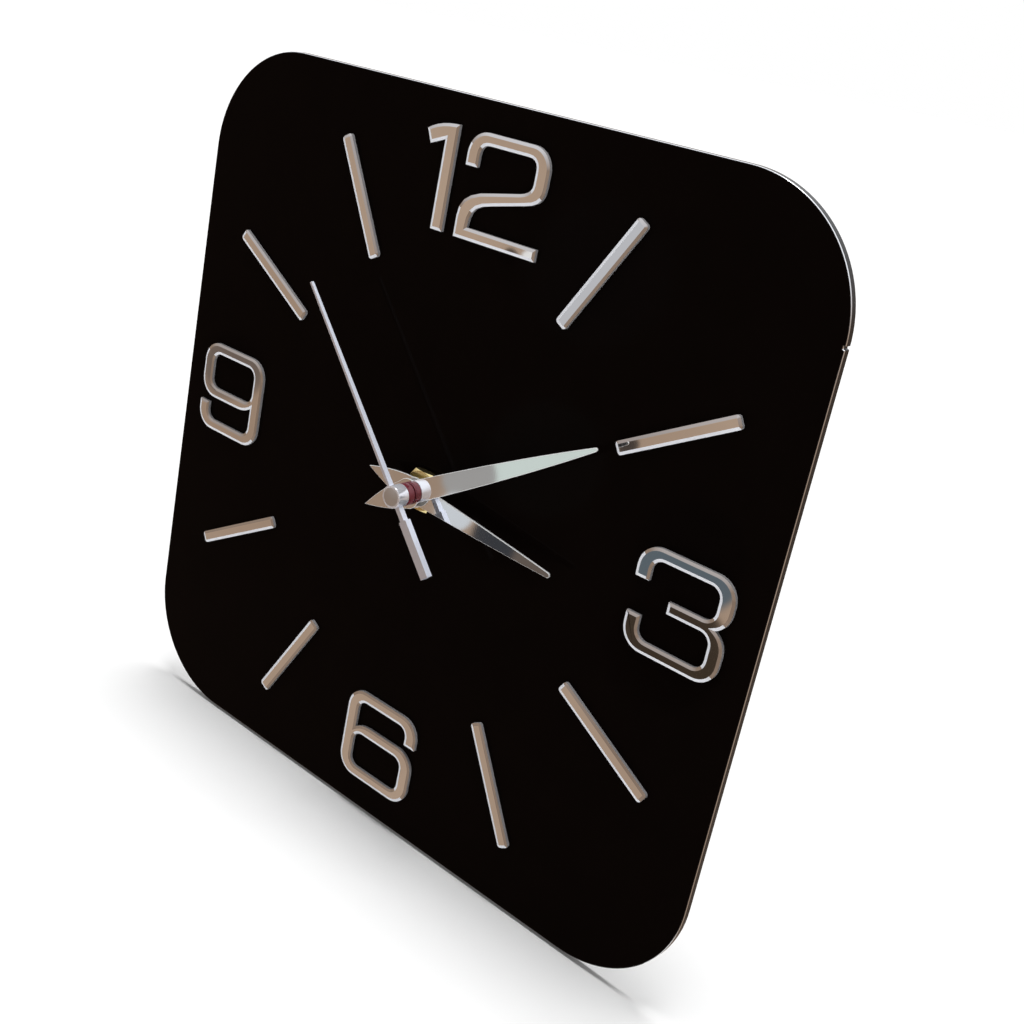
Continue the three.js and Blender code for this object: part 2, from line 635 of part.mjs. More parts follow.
function threadedBush() {
  const bore = HOUR_TUBE_RADIUS + CLEARANCE;
  return turned([
    [bore, flangeZ],
    [BUSH_FLANGE_RADIUS, flangeZ],
    [BUSH_FLANGE_RADIUS, flangeTop],
    [BUSH_RADIUS, flangeTop],
    [BUSH_RADIUS, bushTop - BUSH_CHAMFER],
    [BUSH_RADIUS - BUSH_CHAMFER, bushTop],
    [bore, bushTop],
    [bore, flangeZ],
  ]);
}

// A strap clamped behind the dial, bent back over the top of the movement to the wall,
// where its keyhole hangs on a nail.
function hanger() {
  const half = HANGER_WIDTH / 2;
  const strapTop = hangerZ + HANGER_THICKNESS;
  const riserY = caseTop + 2 * HANGER_WALL_GAP;
  const eyeY = riserY + HANGER_EYE_MARGIN + HANGER_EYE_RADIUS;
  const eyeTop = eyeY + HANGER_SLOT_RISE + HANGER_EYE_MARGIN;
  const eyeFront = HANGER_WALL_GAP + HANGER_THICKNESS;
  const strap = block([-half, -HANGER_BELOW_AXIS, hangerZ], [half, riserY, strapTop]);
  const riser = block(
    [-half, riserY - HANGER_THICKNESS, HANGER_WALL_GAP],
    [half, riserY, strapTop],
  );
  const corners = [HANGER_CORNER_RADIUS, HANGER_CORNER_RADIUS, SQUARE_CORNER, SQUARE_CORNER];
  const outline = roundedRectangle(-half, riserY - HANGER_THICKNESS, half, eyeTop, corners);
  const eyePlate = slab(outline, HANGER_WALL_GAP, eyeFront, 5);
  const toolTop = eyeFront + OVERRUN;
  const eye = disc(HANGER_EYE_RADIUS, 0, toolTop).translate(0, eyeY, 0);
  const slotHalf = HANGER_SLOT_WIDTH / 2;
  const slotTop = eyeY + HANGER_SLOT_RISE;
  const slot = block([-slotHalf, eyeY, 0], [slotHalf, slotTop, toolTop]);
  const slotEnd = disc(slotHalf, 0, toolTop).translate(0, slotTop, 0);
  const bore = disc(BUSH_RADIUS + CLEARANCE, hangerZ - OVERRUN, strapTop + OVERRUN);
  return cut(join(strap, riser, eyePlate), eye, slot, slotEnd, bore);
}

const stackBore = BUSH_RADIUS + CLEARANCE;
piece("dial_nut", hexagonNut(), BRASS);
piece(
  "dial_washer",
  tube(WASHER_RADIUS, stackBore, washerZ, washerZ + WASHER_THICKNESS),
  BRASS,
);
piece("threaded_bush", threadedBush(), BRASS);
piece(
  "rubber_gasket",
  tube(GASKET_RADIUS, stackBore, gasketZ, gasketZ + GASKET_THICKNESS),
  RUBBER,
);
piece("hanger", hanger(), STEEL);

// ---------------------------------------------------------------- hands

const secondAngle = -THREE.MathUtils.degToRad(6 * SHOWN_SECOND);
const minutesShown = SHOWN_MINUTE + SHOWN_SECOND / 60;
const minuteAngle = -THREE.MathUtils.degToRad(6 * minutesShown);
const hourAngle = -THREE.MathUtils.degToRad(30 * (SHOWN_HOUR + minutesShown / 60));

// A lance blade that swells towards its hub and ends in a rounded tip.
function blade(length, rootHalf, bellyHalf, tipHalf) {
  const belly = 0.6 * length;
  const shape = new THREE.Shape();
  const tipStart = length - tipHalf;
  shape.moveTo(-rootHalf, 0);
  shape.lineTo(rootHalf, 0);
  shape.quadraticCurveTo(bellyHalf, belly, tipHalf, tipStart);
  shape.absarc(0, tipStart, tipHalf, 0, Math.PI);
  shape.quadraticCurveTo(-bellyHalf, belly, -rootHalf, 0);
  return shape;
}

function pointedTail(length, rootHalf) {
  const swell = new THREE.Vector2(0.95 * rootHalf, -0.42 * length);
  const shape = new THREE.Shape();
  shape.moveTo(rootHalf, 0);
  shape.lineTo(-rootHalf, 0);
  shape.quadraticCurveTo(-swell.x, swell.y, 0, -length);
  shape.quadraticCurveTo(swell.x, swell.y, rootHalf, 0);
  return shape;
}

function lanceHand(hand, back, front, bore) {
  const { length, tail, hubRadius, rootHalf, bellyHalf, tipHalf, colletDepth } = hand;
  const colletFoot = back - colletDepth;
  const whole = join(
    slab(blade(length, rootHalf, bellyHalf, tipHalf), back, front, 10),
    slab(pointedTail(tail, 0.94 * hubRadius), back, front, 8),
    disc(hubRadius, back, front, LARGE_ROUND_SEGMENTS),
    disc(bore + COLLET_WALL, colletFoot, front - HAND_THICKNESS / 2),
  );
  return cut(whole, disc(bore, colletFoot - OVERRUN, front + OVERRUN));
}

const hourHandShape = {
  length: HOUR_HAND_LENGTH,
  tail: HOUR_HAND_TAIL,
  hubRadius: HOUR_HUB_RADIUS,
  rootHalf: HOUR_ROOT_HALF_WIDTH,
  bellyHalf: HOUR_BELLY_HALF_WIDTH,
  tipHalf: HOUR_TIP_HALF_WIDTH,
  colletDepth: HOUR_COLLET_DEPTH,
};
const minuteHandShape = {
  length: MINUTE_HAND_LENGTH,
  tail: MINUTE_HAND_TAIL,
  hubRadius: MINUTE_HUB_RADIUS,
  rootHalf: MINUTE_ROOT_HALF_WIDTH,
  bellyHalf: MINUTE_BELLY_HALF_WIDTH,
  tipHalf: MINUTE_TIP_HALF_WIDTH,
  colletDepth: MINUTE_COLLET_DEPTH,
};
const hourBore = HOUR_TUBE_RADIUS + CLEARANCE / 2;
const minuteBore = MINUTE_TUBE_RADIUS + CLEARANCE / 2;
const hourHand = lanceHand(hourHandShape, hourHandBack, hourHandFront, hourBore);
const minuteHand = lanceHand(minuteHandShape, minuteHandBack, minuteHandFront, minuteBore);
piece("hour_hand", hourHand, POLISHED_ALUMINIUM, new THREE.Vector2(), hourAngle);
piece("minute_hand", minuteHand, POLISHED_ALUMINIUM, new THREE.Vector2(), minuteAngle);

// The second hand is a deep bar: its plan and its side view meet in one solid.
function secondHandBar() {
  const start = RED_SPIGOT_RADIUS + 2 * CLEARANCE;
  const front = secondHandFront;
  const plan = new THREE.Shape();
  plan.moveTo(-SECOND_BLADE_WIDTH / 2, start);
  plan.lineTo(SECOND_BLADE_WIDTH / 2, start);
  plan.lineTo(SECOND_TIP_WIDTH / 2, SECOND_HAND_LENGTH);
  plan.lineTo(-SECOND_TIP_WIDTH / 2, SECOND_HAND_LENGTH);
  const side = new THREE.Shape();
  side.moveTo(0, front - SECOND_BLADE_DEPTH);
  side.lineTo(SECOND_HAND_LENGTH + OVERRUN, front - SECOND_TIP_DEPTH);
  side.lineTo(SECOND_HAND_LENGTH + OVERRUN, front);
  side.lineTo(0, front);
  const sideSlab = slab(side, -CAP_RADIUS, CAP_RADIUS)
    .rotateX(Math.PI / 2)
    .rotateZ(Math.PI / 2);
  return common(slab(plan, front - 2 * SECOND_BLADE_DEPTH, front + OVERRUN), sideSlab);
}

function secondHand() {
  const front = secondHandFront;
  const ringInner = RED_SPIGOT_RADIUS + CLEARANCE;
  const ringOuter = CAP_RADIUS - CAP_WALL - CLEARANCE;
  const back = front - SECOND_BLADE_DEPTH;
  const stub = block(
    [-STUB_WIDTH / 2, -COUNTERWEIGHT_START - SINK, back],
    [STUB_WIDTH / 2, -(ringInner + ringOuter) / 2, front],
  );
  const weight = block(
    [-COUNTERWEIGHT_WIDTH / 2, -SECOND_HAND_TAIL, front - COUNTERWEIGHT_DEPTH],
    [COUNTERWEIGHT_WIDTH / 2, -COUNTERWEIGHT_START, front],
  );
  return join(tube(ringOuter, ringInner, back, front), secondHandBar(), stub, weight);
}

// A shell pressed over the hub, slotted where the blade and the stub leave it.
function secondHandCap() {
  const inner = CAP_RADIUS - CAP_WALL;
  const shell = turned([
    [inner, capZ],
    [CAP_RADIUS, capZ],
    [CAP_RADIUS, capFront - CAP_CHAMFER],
    [CAP_RADIUS - CAP_CHAMFER, capFront],
    [0, capFront],
    [0, capFront - CAP_WALL],
    [inner, capFront - CAP_WALL],
    [inner, capZ],
  ]);
  const slotTop = capFront - CAP_WALL;
  const bladeHalf = SECOND_BLADE_WIDTH / 2 + CLEARANCE;
  const stubHalf = STUB_WIDTH / 2 + CLEARANCE;
  const slotFoot = capZ - OVERRUN;
  const slotEnd = CAP_RADIUS + OVERRUN;
  const bladeSlot = block([-bladeHalf, 0, slotFoot], [bladeHalf, slotEnd, slotTop]);
  const stubSlot = block([-stubHalf, -slotEnd, slotFoot], [stubHalf, 0, slotTop]);
  return cut(shell, bladeSlot, stubSlot);
}

const shaftTop = redHubTop + SHAFT_IN_SPIGOT;
const hubBore = SECONDS_SHAFT_RADIUS + CLEARANCE / 2;
const hubSocket = MINUTE_TUBE_RADIUS + CLEARANCE;
const spigotTop = secondHandFront - CLEARANCE;
const redHub = turned([
  [hubBore, redHubZ + RED_SOCKET_DEPTH],
  [hubSocket, redHubZ + RED_SOCKET_DEPTH],
  [hubSocket, redHubZ],
  [CAP_RADIUS, redHubZ],
  [CAP_RADIUS, redHubTop],
  [RED_SPIGOT_RADIUS, redHubTop],
  [RED_SPIGOT_RADIUS, spigotTop],
  [hubBore, spigotTop],
  [hubBore, redHubZ + RED_SOCKET_DEPTH],
]);
piece("second_hand", secondHand(), POLISHED_ALUMINIUM, new THREE.Vector2(), secondAngle);
piece("second_hand_cap", secondHandCap(), SILVER, new THREE.Vector2(), secondAngle);
piece("second_hand_hub", redHub, RED_PLASTIC);

// ---------------------------------------------------------------- wheels of the movement

const pivotFoot = COVER_THICKNESS - PIVOT_DEPTH + PIVOT_END_GAP;
const pivotTop = gearPlateTop - PIVOT_END_GAP / 2;

// A steel arbor with thin pivots that run in the back cover and the gear plate.
function arbor(low, high) {
  const outline = [
    [0, pivotFoot],
    [PIVOT_RADIUS, pivotFoot],
    [PIVOT_RADIUS, low],
    [ARBOR_RADIUS, low],
    [ARBOR_RADIUS, high],
    [PIVOT_RADIUS, high],
    [PIVOT_RADIUS, pivotTop],
    [0, pivotTop],
  ];
  return turned(outline, SMALL_ROUND_SEGMENTS);
}

const levelTop = (level) => level + WHEEL_THICKNESS;
const arborLow = COVER_THICKNESS + CLEARANCE;
const arborHigh = gearPlateZ - CLEARANCE;

function secondsWheel() {
  const outline = [
    [0, pivotFoot],
    [PIVOT_RADIUS, pivotFoot],
    [PIVOT_RADIUS, arborLow],
    [SECONDS_SHAFT_RADIUS, arborLow],
    [SECONDS_SHAFT_RADIUS, shaftTop],
    [0, shaftTop],
  ];
  const pinionTop = levelTop(thirdWheelZ) + CLEARANCE;
  return join(
    turned(outline, SMALL_ROUND_SEGMENTS),
    toothed(SECONDS_PINION_TEETH, trainModule, thirdWheelZ - CLEARANCE, pinionTop),
    toothed(SECONDS_WHEEL_TEETH, driveModule, secondsWheelZ, levelTop(secondsWheelZ)),
  );
}

function intermediateWheel() {
  const pinionPhase = meshPhase(
    SECONDS_WHEEL_TEETH,
    0,
    INTERMEDIATE_ANGLE,
    INTERMEDIATE_PINION_TEETH,
  );
  return join(
    arbor(arborLow, arborHigh),
    toothed(
      INTERMEDIATE_WHEEL_TEETH,
      rotorModule,
      intermediateWheelZ,
      levelTop(intermediateWheelZ),
    ),
    toothed(
      INTERMEDIATE_PINION_TEETH,
      driveModule,
      levelTop(intermediateWheelZ) - SINK,
      levelTop(secondsWheelZ) + CLEARANCE,
      pinionPhase,
    ),
  );
}

function thirdWheel() {
  const wheelPhase = meshPhase(SECONDS_PINION_TEETH, 0, THIRD_ANGLE, THIRD_WHEEL_TEETH);
  return join(
    arbor(arborLow, arborHigh),
    toothed(THIRD_WHEEL_TEETH, trainModule, thirdWheelZ, levelTop(thirdWheelZ), wheelPhase),
    toothed(
      THIRD_PINION_TEETH,
      minuteModule,
      minuteWheelZ - CLEARANCE,
      levelTop(minuteWheelZ) + CLEARANCE,
    ),
  );
}

function minuteWheel() {
  const phase = meshPhase(THIRD_PINION_TEETH, 0, THIRD_ANGLE + Math.PI, MINUTE_WHEEL_TEETH);
  const bore = disc(MINUTE_TUBE_RADIUS + CLEARANCE, minuteWheelZ - OVERRUN, gearPlateZ);
  const wheel = toothed(
    MINUTE_WHEEL_TEETH,
    minuteModule,
    minuteWheelZ,
    levelTop(minuteWheelZ),
    phase,
  );
  return cut(wheel, bore);
}

function minuteTube() {
  const bore = SECONDS_SHAFT_RADIUS + CLEARANCE;
  const top = minuteHandFront + 2 * CLEARANCE;
  const body = tube(MINUTE_TUBE_RADIUS, bore, clutchZ, top);
  const clutch = tube(CLUTCH_RADIUS, bore, clutchZ, clutchZ + CLUTCH_THICKNESS);
  const pinion = toothed(
    CANNON_PINION_TEETH,
    motionModule,
    motionWheelZ - CLEARANCE,
    levelTop(motionWheelZ) + CLEARANCE,
  );
  const pinionBore = disc(bore, clutchZ - OVERRUN, top + OVERRUN);
  return join(body, clutch, cut(pinion, pinionBore));
}

const motionPhase = meshPhase(CANNON_PINION_TEETH, 0, MOTION_ANGLE, MOTION_WHEEL_TEETH);

function motionWheel() {
  const pinionTop = levelTop(hourWheelZ) + CLEARANCE;
  const wheel = toothed(
    MOTION_WHEEL_TEETH,
    motionModule,
    motionWheelZ,
    levelTop(motionWheelZ),
    motionPhase,
  );
  const pinion = toothed(
    MOTION_PINION_TEETH,
    hourModule,
    levelTop(motionWheelZ) - SINK,
    pinionTop,
  );
  const boreFoot = motionWheelZ - OVERRUN;
  const bore = disc(ARBOR_RADIUS + CLEARANCE, boreFoot, pinionTop + OVERRUN);
  return cut(join(wheel, pinion), bore);
}

function hourWheel() {
  const phase = meshPhase(
    MOTION_PINION_TEETH,
    0,
    MOTION_ANGLE + Math.PI,
    HOUR_WHEEL_TEETH,
  );
  const bore = MINUTE_TUBE_RADIUS + CLEARANCE;
  const gear = toothed(
    HOUR_WHEEL_TEETH,
    hourModule,
    hourWheelZ,
    levelTop(hourWheelZ),
    phase,
  );
  const gearBore = disc(bore, hourWheelZ - OVERRUN, flangeTop);
  const sleeve = tube(HOUR_TUBE_RADIUS, bore, hourWheelZ, hourHandFront + CLEARANCE);
  return join(cut(gear, gearBore), sleeve);
}

function settingKnob() {
  const stemTop = levelTop(motionWheelZ) + CLEARANCE;
  const knobTop = KNOB_WALL_GAP + KNOB_THICKNESS;
  const phase = meshPhase(MOTION_WHEEL_TEETH, motionPhase, KNOB_ANGLE, KNOB_PINION_TEETH);
  const gripScallops = [];
  for (let scallop = 0; scallop < KNOB_SCALLOPS; scallop += 1) {
    const from = KNOB_RADIUS + SCALLOP_RADIUS - SCALLOP_INSET;
    const at = polar(from, (scallop * 2 * Math.PI) / KNOB_SCALLOPS);
    const tool = disc(SCALLOP_RADIUS, -OVERRUN, knobTop + OVERRUN, SCALLOP_SEGMENTS);
    gripScallops.push(tool.translate(at.x, at.y, 0));
  }
  return join(
    cut(disc(KNOB_RADIUS, KNOB_WALL_GAP, knobTop, LARGE_ROUND_SEGMENTS), ...gripScallops),
    disc(KNOB_STEM_RADIUS, knobTop - SINK, stemTop, SMALL_ROUND_SEGMENTS),
    toothed(KNOB_PINION_TEETH, motionModule, motionWheelZ - CLEARANCE, stemTop, phase),
  );
}

const rotorPinionTop = levelTop(intermediateWheelZ) + CLEARANCE;
const magnetZ = rotorPinionTop + CLEARANCE;
const statorZ = magnetZ + (MAGNET_LENGTH - STATOR_THICKNESS) / 2;

function rotorPinion() {
  const phase = meshPhase(INTERMEDIATE_WHEEL_TEETH, 0, ROTOR_ANGLE, ROTOR_PINION_TEETH);
  return join(
    arbor(arborLow, arborHigh),
    toothed(
      ROTOR_PINION_TEETH,
      rotorModule,
      intermediateWheelZ - CLEARANCE,
      rotorPinionTop,
      phase,
    ),
  );
}

const magnetRing = tube(
  MAGNET_RADIUS,
  ARBOR_RADIUS + CLEARANCE / 2,
  magnetZ,
  magnetZ + MAGNET_LENGTH,
);

piece("rotor_pinion", rotorPinion(), WHITE_PLASTIC, rotorAt);
piece("rotor_magnet", magnetRing, MAGNET, rotorAt);
piece("intermediate_wheel", intermediateWheel(), WHITE_PLASTIC, intermediateAt);
piece("seconds_wheel", secondsWheel(), STEEL);
piece("third_wheel", thirdWheel(), WHITE_PLASTIC, thirdAt);
piece("minute_wheel", minuteWheel(), WHITE_PLASTIC);
piece("minute_tube", minuteTube(), BRASS);
piece("motion_wheel", motionWheel(), WHITE_PLASTIC, motionAt);
piece("hour_wheel", hourWheel(), WHITE_PLASTIC);
piece("setting_knob", settingKnob(), BLACK_PLASTIC, knobAt);

// ---------------------------------------------------------------- motor and circuit

function gearPlate() {
  const left = rotorAt.x - GEAR_PLATE_SIDE_MARGIN;
  const right = knobAt.x + KNOB_STEM_RADIUS + GEAR_PLATE_SIDE_MARGIN;
  const top = thirdAt.y + GEAR_PLATE_TOP_MARGIN;
  const bottom = bayTop + BAY_WALL + CLEARANCE;
  const plate = block([left, bottom, gearPlateZ], [right, top, gearPlateTop]);
  const hole = (radius, at) => {
    const toolTop = gearPlateTop + OVERRUN;
    const tool = disc(radius, gearPlateZ - OVERRUN, toolTop, SMALL_ROUND_SEGMENTS);
    return tool.translate(at.x, at.y, 0);
  };
  const postTop = innerFront - CLEARANCE;
  const post = disc(ARBOR_RADIUS, gearPlateZ, postTop, SMALL_ROUND_SEGMENTS);
  const drilled = cut(
    plate,
    hole(MINUTE_TUBE_RADIUS + CLEARANCE, new THREE.Vector2()),
    hole(PIVOT_HOLE_RADIUS, thirdAt),
    hole(PIVOT_HOLE_RADIUS, intermediateAt),
    hole(PIVOT_HOLE_RADIUS, rotorAt),
    hole(KNOB_STEM_RADIUS + CLEARANCE, knobAt),
  );
  return join(drilled, post.translate(motionAt.x, motionAt.y, 0));
}

const coilY = rotorAt.y;
const coilHalf = COIL_LENGTH / 2;
const bobbinHalf = coilHalf + BOBBIN_FLANGE + CLEARANCE;

// A flat iron strip with the rotor's hole, whose two tabs reach the ends of the coil.
function stator() {
  const top = statorZ + STATOR_THICKNESS;
  const stripHalf = bobbinHalf + CLEARANCE + STATOR_TAB;
  const right = rotorAt.x + STATOR_HALF_WIDTH;
  const left = rotorAt.x - STATOR_HALF_WIDTH;
  const tabLeft = coilX - BOBBIN_CORE_HALF;
  const strip = block([left, coilY - stripHalf, statorZ], [right, coilY + stripHalf, top]);
  const tab = (low) => block([tabLeft, low, statorZ], [left + SINK, low + STATOR_TAB, top]);
  const hole = disc(MAGNET_RADIUS + ROTOR_AIR_GAP, statorZ - OVERRUN, top + OVERRUN);
  const lowerTab = tab(coilY - stripHalf);
  const upperTab = tab(coilY + stripHalf - STATOR_TAB);
  return cut(join(strip, lowerTab, upperTab), hole.translate(rotorAt.x, rotorAt.y, 0));
}

const coilZ = statorZ + STATOR_THICKNESS / 2;

function coilBobbin() {
  const core = block(
    [coilX - BOBBIN_CORE_HALF, coilY - bobbinHalf, coilZ - BOBBIN_CORE_HALF],
    [coilX + BOBBIN_CORE_HALF, coilY + bobbinHalf, coilZ + BOBBIN_CORE_HALF],
  );
  const flange = (low) =>
    block(
      [coilX - BOBBIN_FLANGE_HALF, low, coilZ - BOBBIN_FLANGE_HALF],
      [coilX + BOBBIN_FLANGE_HALF, low + BOBBIN_FLANGE, coilZ + BOBBIN_FLANGE_HALF],
    );
  return join(core, flange(coilY - bobbinHalf), flange(coilY + bobbinHalf - BOBBIN_FLANGE));
}

function coilWinding() {
  const inner = BOBBIN_CORE_HALF * Math.SQRT2 + CLEARANCE / 2;
  const winding = tube(COIL_RADIUS, inner, -coilHalf, coilHalf);
  return winding.rotateX(Math.PI / 2).translate(coilX, coilY, coilZ);
}

const boardTop = innerFront - BOARD_FRONT_GAP;
const boardZ = boardTop - BOARD_THICKNESS;
const boardHalf = bayHalfWidth - CONTACT_THICKNESS - 2 * CLEARANCE;
const boardLow = innerTop - CLEARANCE - BOARD_WIDTH;
const boardMiddle = boardLow + BOARD_WIDTH / 2;

const circuitBoard = block(
  [-boardHalf, boardLow, boardZ],
  [boardHalf, boardLow + BOARD_WIDTH, boardTop],
);
const crystalCan = disc(CRYSTAL_RADIUS, -CRYSTAL_LENGTH / 2, CRYSTAL_LENGTH / 2)
  .rotateY(Math.PI / 2)
  .translate(boardHalf / 2, boardMiddle, boardZ - CLEARANCE - CRYSTAL_RADIUS);
const chipBase = boardZ - CLEARANCE;
const chip = turned([
  [0, chipBase - CHIP_HEIGHT],
  [0.6 * CHIP_RADIUS, chipBase - 0.85 * CHIP_HEIGHT],
  [0.9 * CHIP_RADIUS, chipBase - 0.45 * CHIP_HEIGHT],
  [CHIP_RADIUS, chipBase],
  [0, chipBase],
]).translate(-boardHalf / 4, boardMiddle, 0);

piece("gear_plate", gearPlate(), WHITE_PLASTIC);
piece("stator", stator(), STEEL);
piece("coil_bobbin", coilBobbin(), WHITE_PLASTIC);
piece("coil_winding", coilWinding(), COPPER_WIRE);
piece("circuit_board", circuitBoard, BOARD_GREEN);
piece("quartz_crystal", crystalCan, STEEL);
piece("chip", chip, EPOXY);

// ---------------------------------------------------------------- battery and contacts

const batteryZ = BATTERY_WALL_GAP + BATTERY_RADIUS;
const stripZ = boardZ - CONTACT_STRIP_WIDTH / 2;
const stripTop = stripZ + CONTACT_STRIP_WIDTH;

// The cell lies across the bay with its nub to the right.
function batteryCell() {
  const foot = -BATTERY_LENGTH / 2;
  const shoulder = foot + BATTERY_LENGTH - BATTERY_NUB_LENGTH;
  const cell = turned(
    [
      [0, foot],
      [BATTERY_RADIUS - BATTERY_EDGE, foot],
      [BATTERY_RADIUS, foot + BATTERY_EDGE],
      [BATTERY_RADIUS, shoulder - BATTERY_EDGE],
      [BATTERY_RADIUS - BATTERY_EDGE, shoulder],
      [BATTERY_NUB_RADIUS, shoulder],
      [BATTERY_NUB_RADIUS, shoulder + BATTERY_NUB_LENGTH],
      [0, shoulder + BATTERY_NUB_LENGTH],
    ],
    LARGE_ROUND_SEGMENTS,
  );
  return cell.rotateY(Math.PI / 2).translate(0, batteryY, batteryZ);
}

// The lower and upper x of a span measured outwards from the middle, on either side.
const sideSpan = (side, near, far) => (side > 0 ? [near, far] : [-far, -near]);

// A contact plate against the end wall of the bay, with a strip that runs up to the board.
function contact(side, buttonHeight) {
  const outer = bayHalfWidth - CLEARANCE;
  const inner = outer - CONTACT_THICKNESS;
  const [left, right] = sideSpan(side, inner, outer);
  const plateFoot = batteryY + CONTACT_HALF_WIDTH;
  const plate = block(
    [left, batteryY - CONTACT_HALF_WIDTH, batteryZ - CONTACT_HALF_WIDTH],
    [right, plateFoot, stripTop],
  );
  const strip = block([left, plateFoot - SINK, stripZ], [right, boardMiddle, stripTop]);
  const button = turned([
    [0, -SINK],
    [BUTTON_FOOT_RADIUS, -SINK],
    [BUTTON_TIP_RADIUS, buttonHeight],
    [0, buttonHeight],
  ]);
  button.rotateY((-side * Math.PI) / 2).translate(side * inner, batteryY, batteryZ);
  return join(plate, strip, button);
}

piece("battery_cell", batteryCell(), BATTERY_WRAP);

// ---------------------------------------------------------------- movement case

const caseBack = COVER_THICKNESS + CLEARANCE;

function frontCase() {
  const outline = evenRectangle(caseHalfWidth, caseBottom, caseTop, CASE_CORNER_RADIUS);
  const shell = slab(outline, caseBack, movementFront, 4);
  const gearRoom = block(
    [-innerHalfWidth, bayTop + BAY_WALL, 0],
    [innerHalfWidth, innerTop, innerFront],
  );
  const batteryBay = block([-bayHalfWidth, bayBottom, 0], [bayHalfWidth, bayTop, innerFront]);
  const stripSlot = (side) => {
    const slotDepth = CONTACT_THICKNESS + 2 * CLEARANCE;
    const [left, right] = sideSpan(side, bayHalfWidth - slotDepth, bayHalfWidth);
    return block(
      [left, bayTop - OVERRUN, stripZ - CLEARANCE],
      [right, bayTop + BAY_WALL + OVERRUN, stripTop + CLEARANCE],
    );
  };
  const bore = disc(BUSH_RADIUS + CLEARANCE, innerFront - OVERRUN, movementFront + OVERRUN);
  return cut(shell, gearRoom, batteryBay, stripSlot(1), stripSlot(-1), bore);
}

function backCover() {
  const outline = evenRectangle(caseHalfWidth, caseBottom, caseTop, CASE_CORNER_RADIUS);
  const plate = slab(outline, 0, COVER_THICKNESS, 4);
  const windowHalf = BATTERY_LENGTH / 2 + 2 * CLEARANCE;
  const toolTop = COVER_THICKNESS + OVERRUN;
  const window = block(
    [-windowHalf, bayBottom, -OVERRUN],
    [windowHalf, bayTop, toolTop],
  );
  const knobHole = disc(KNOB_RADIUS + CLEARANCE, -OVERRUN, toolTop, LARGE_ROUND_SEGMENTS);
  const pivotFloor = COVER_THICKNESS - PIVOT_DEPTH;
  const pivotHole = (at) => {
    const tool = disc(PIVOT_HOLE_RADIUS, pivotFloor, toolTop, SMALL_ROUND_SEGMENTS);
    return tool.translate(at.x, at.y, 0);
  };
  return cut(
    plate,
    window,
    knobHole.translate(knobAt.x, knobAt.y, 0),
    pivotHole(new THREE.Vector2()),
    pivotHole(thirdAt),
    pivotHole(intermediateAt),
    pivotHole(rotorAt),
  );
}

piece("movement_front_case", frontCase(), BLACK_PLASTIC);
piece("movement_back_cover", backCover(), BLACK_PLASTIC);
piece("contact_positive", contact(1, POSITIVE_BUTTON_HEIGHT), STEEL);
piece("contact_negative", contact(-1, NEGATIVE_BUTTON_HEIGHT), STEEL);

export default clock;
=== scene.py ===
"""A square acrylic wall clock with mirror numerals, polished hands and a quartz movement.

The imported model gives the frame. This script builds the visible pieces in the same place
and size, gives every piece its finish, and sets up a plain studio with a camera.
Lengths are metres. X runs to three o'clock, Z to twelve, and the dial faces -Y.
"""

import logging
import math
from collections.abc import Callable, Iterable, Sequence
from dataclasses import dataclass
from enum import Enum, IntEnum

import bmesh
import bpy
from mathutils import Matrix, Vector


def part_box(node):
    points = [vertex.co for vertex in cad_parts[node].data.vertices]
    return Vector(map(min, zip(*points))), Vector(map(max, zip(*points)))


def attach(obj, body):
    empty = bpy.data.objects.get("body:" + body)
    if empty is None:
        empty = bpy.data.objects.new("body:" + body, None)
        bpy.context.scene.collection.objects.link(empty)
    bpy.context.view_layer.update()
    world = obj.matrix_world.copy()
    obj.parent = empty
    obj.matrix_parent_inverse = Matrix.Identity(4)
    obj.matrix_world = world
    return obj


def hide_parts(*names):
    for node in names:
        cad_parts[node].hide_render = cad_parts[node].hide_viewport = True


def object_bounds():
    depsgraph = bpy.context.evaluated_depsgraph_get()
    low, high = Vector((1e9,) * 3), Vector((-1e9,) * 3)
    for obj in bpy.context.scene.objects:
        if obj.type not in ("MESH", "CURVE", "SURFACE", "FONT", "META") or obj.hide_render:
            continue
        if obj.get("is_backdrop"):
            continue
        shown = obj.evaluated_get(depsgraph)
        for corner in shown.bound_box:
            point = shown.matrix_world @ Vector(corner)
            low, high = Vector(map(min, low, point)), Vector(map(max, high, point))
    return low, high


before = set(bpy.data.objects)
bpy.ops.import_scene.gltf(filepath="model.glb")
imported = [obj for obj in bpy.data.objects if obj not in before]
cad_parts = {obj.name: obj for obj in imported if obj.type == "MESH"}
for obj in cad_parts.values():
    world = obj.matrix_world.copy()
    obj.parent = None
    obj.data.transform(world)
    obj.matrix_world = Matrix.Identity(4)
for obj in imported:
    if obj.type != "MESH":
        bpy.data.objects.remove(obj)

LOG = logging.getLogger("wall_clock")
MM = 0.001
ROUND_STEPS = 72
SMOOTH_ANGLE = math.radians(32)
FLAT_ANGLE = math.radians(13)
CASE_ANGLE = math.radians(20)
MERGE_DISTANCE = 2e-6
FACING = 0.99
ALONG_Y = Vector((0, 1, 0))
MIX_BELOW, MIX_ABOVE, MIX_RESULT = 6, 7, 2

Point = tuple[float, float]
Colour = tuple[float, float, float]
Stops = Sequence[tuple[float, Colour]]
Socket = bpy.types.NodeSocket
Mesh = bpy.types.Object


# ---------------------------------------------------------------- node graphs


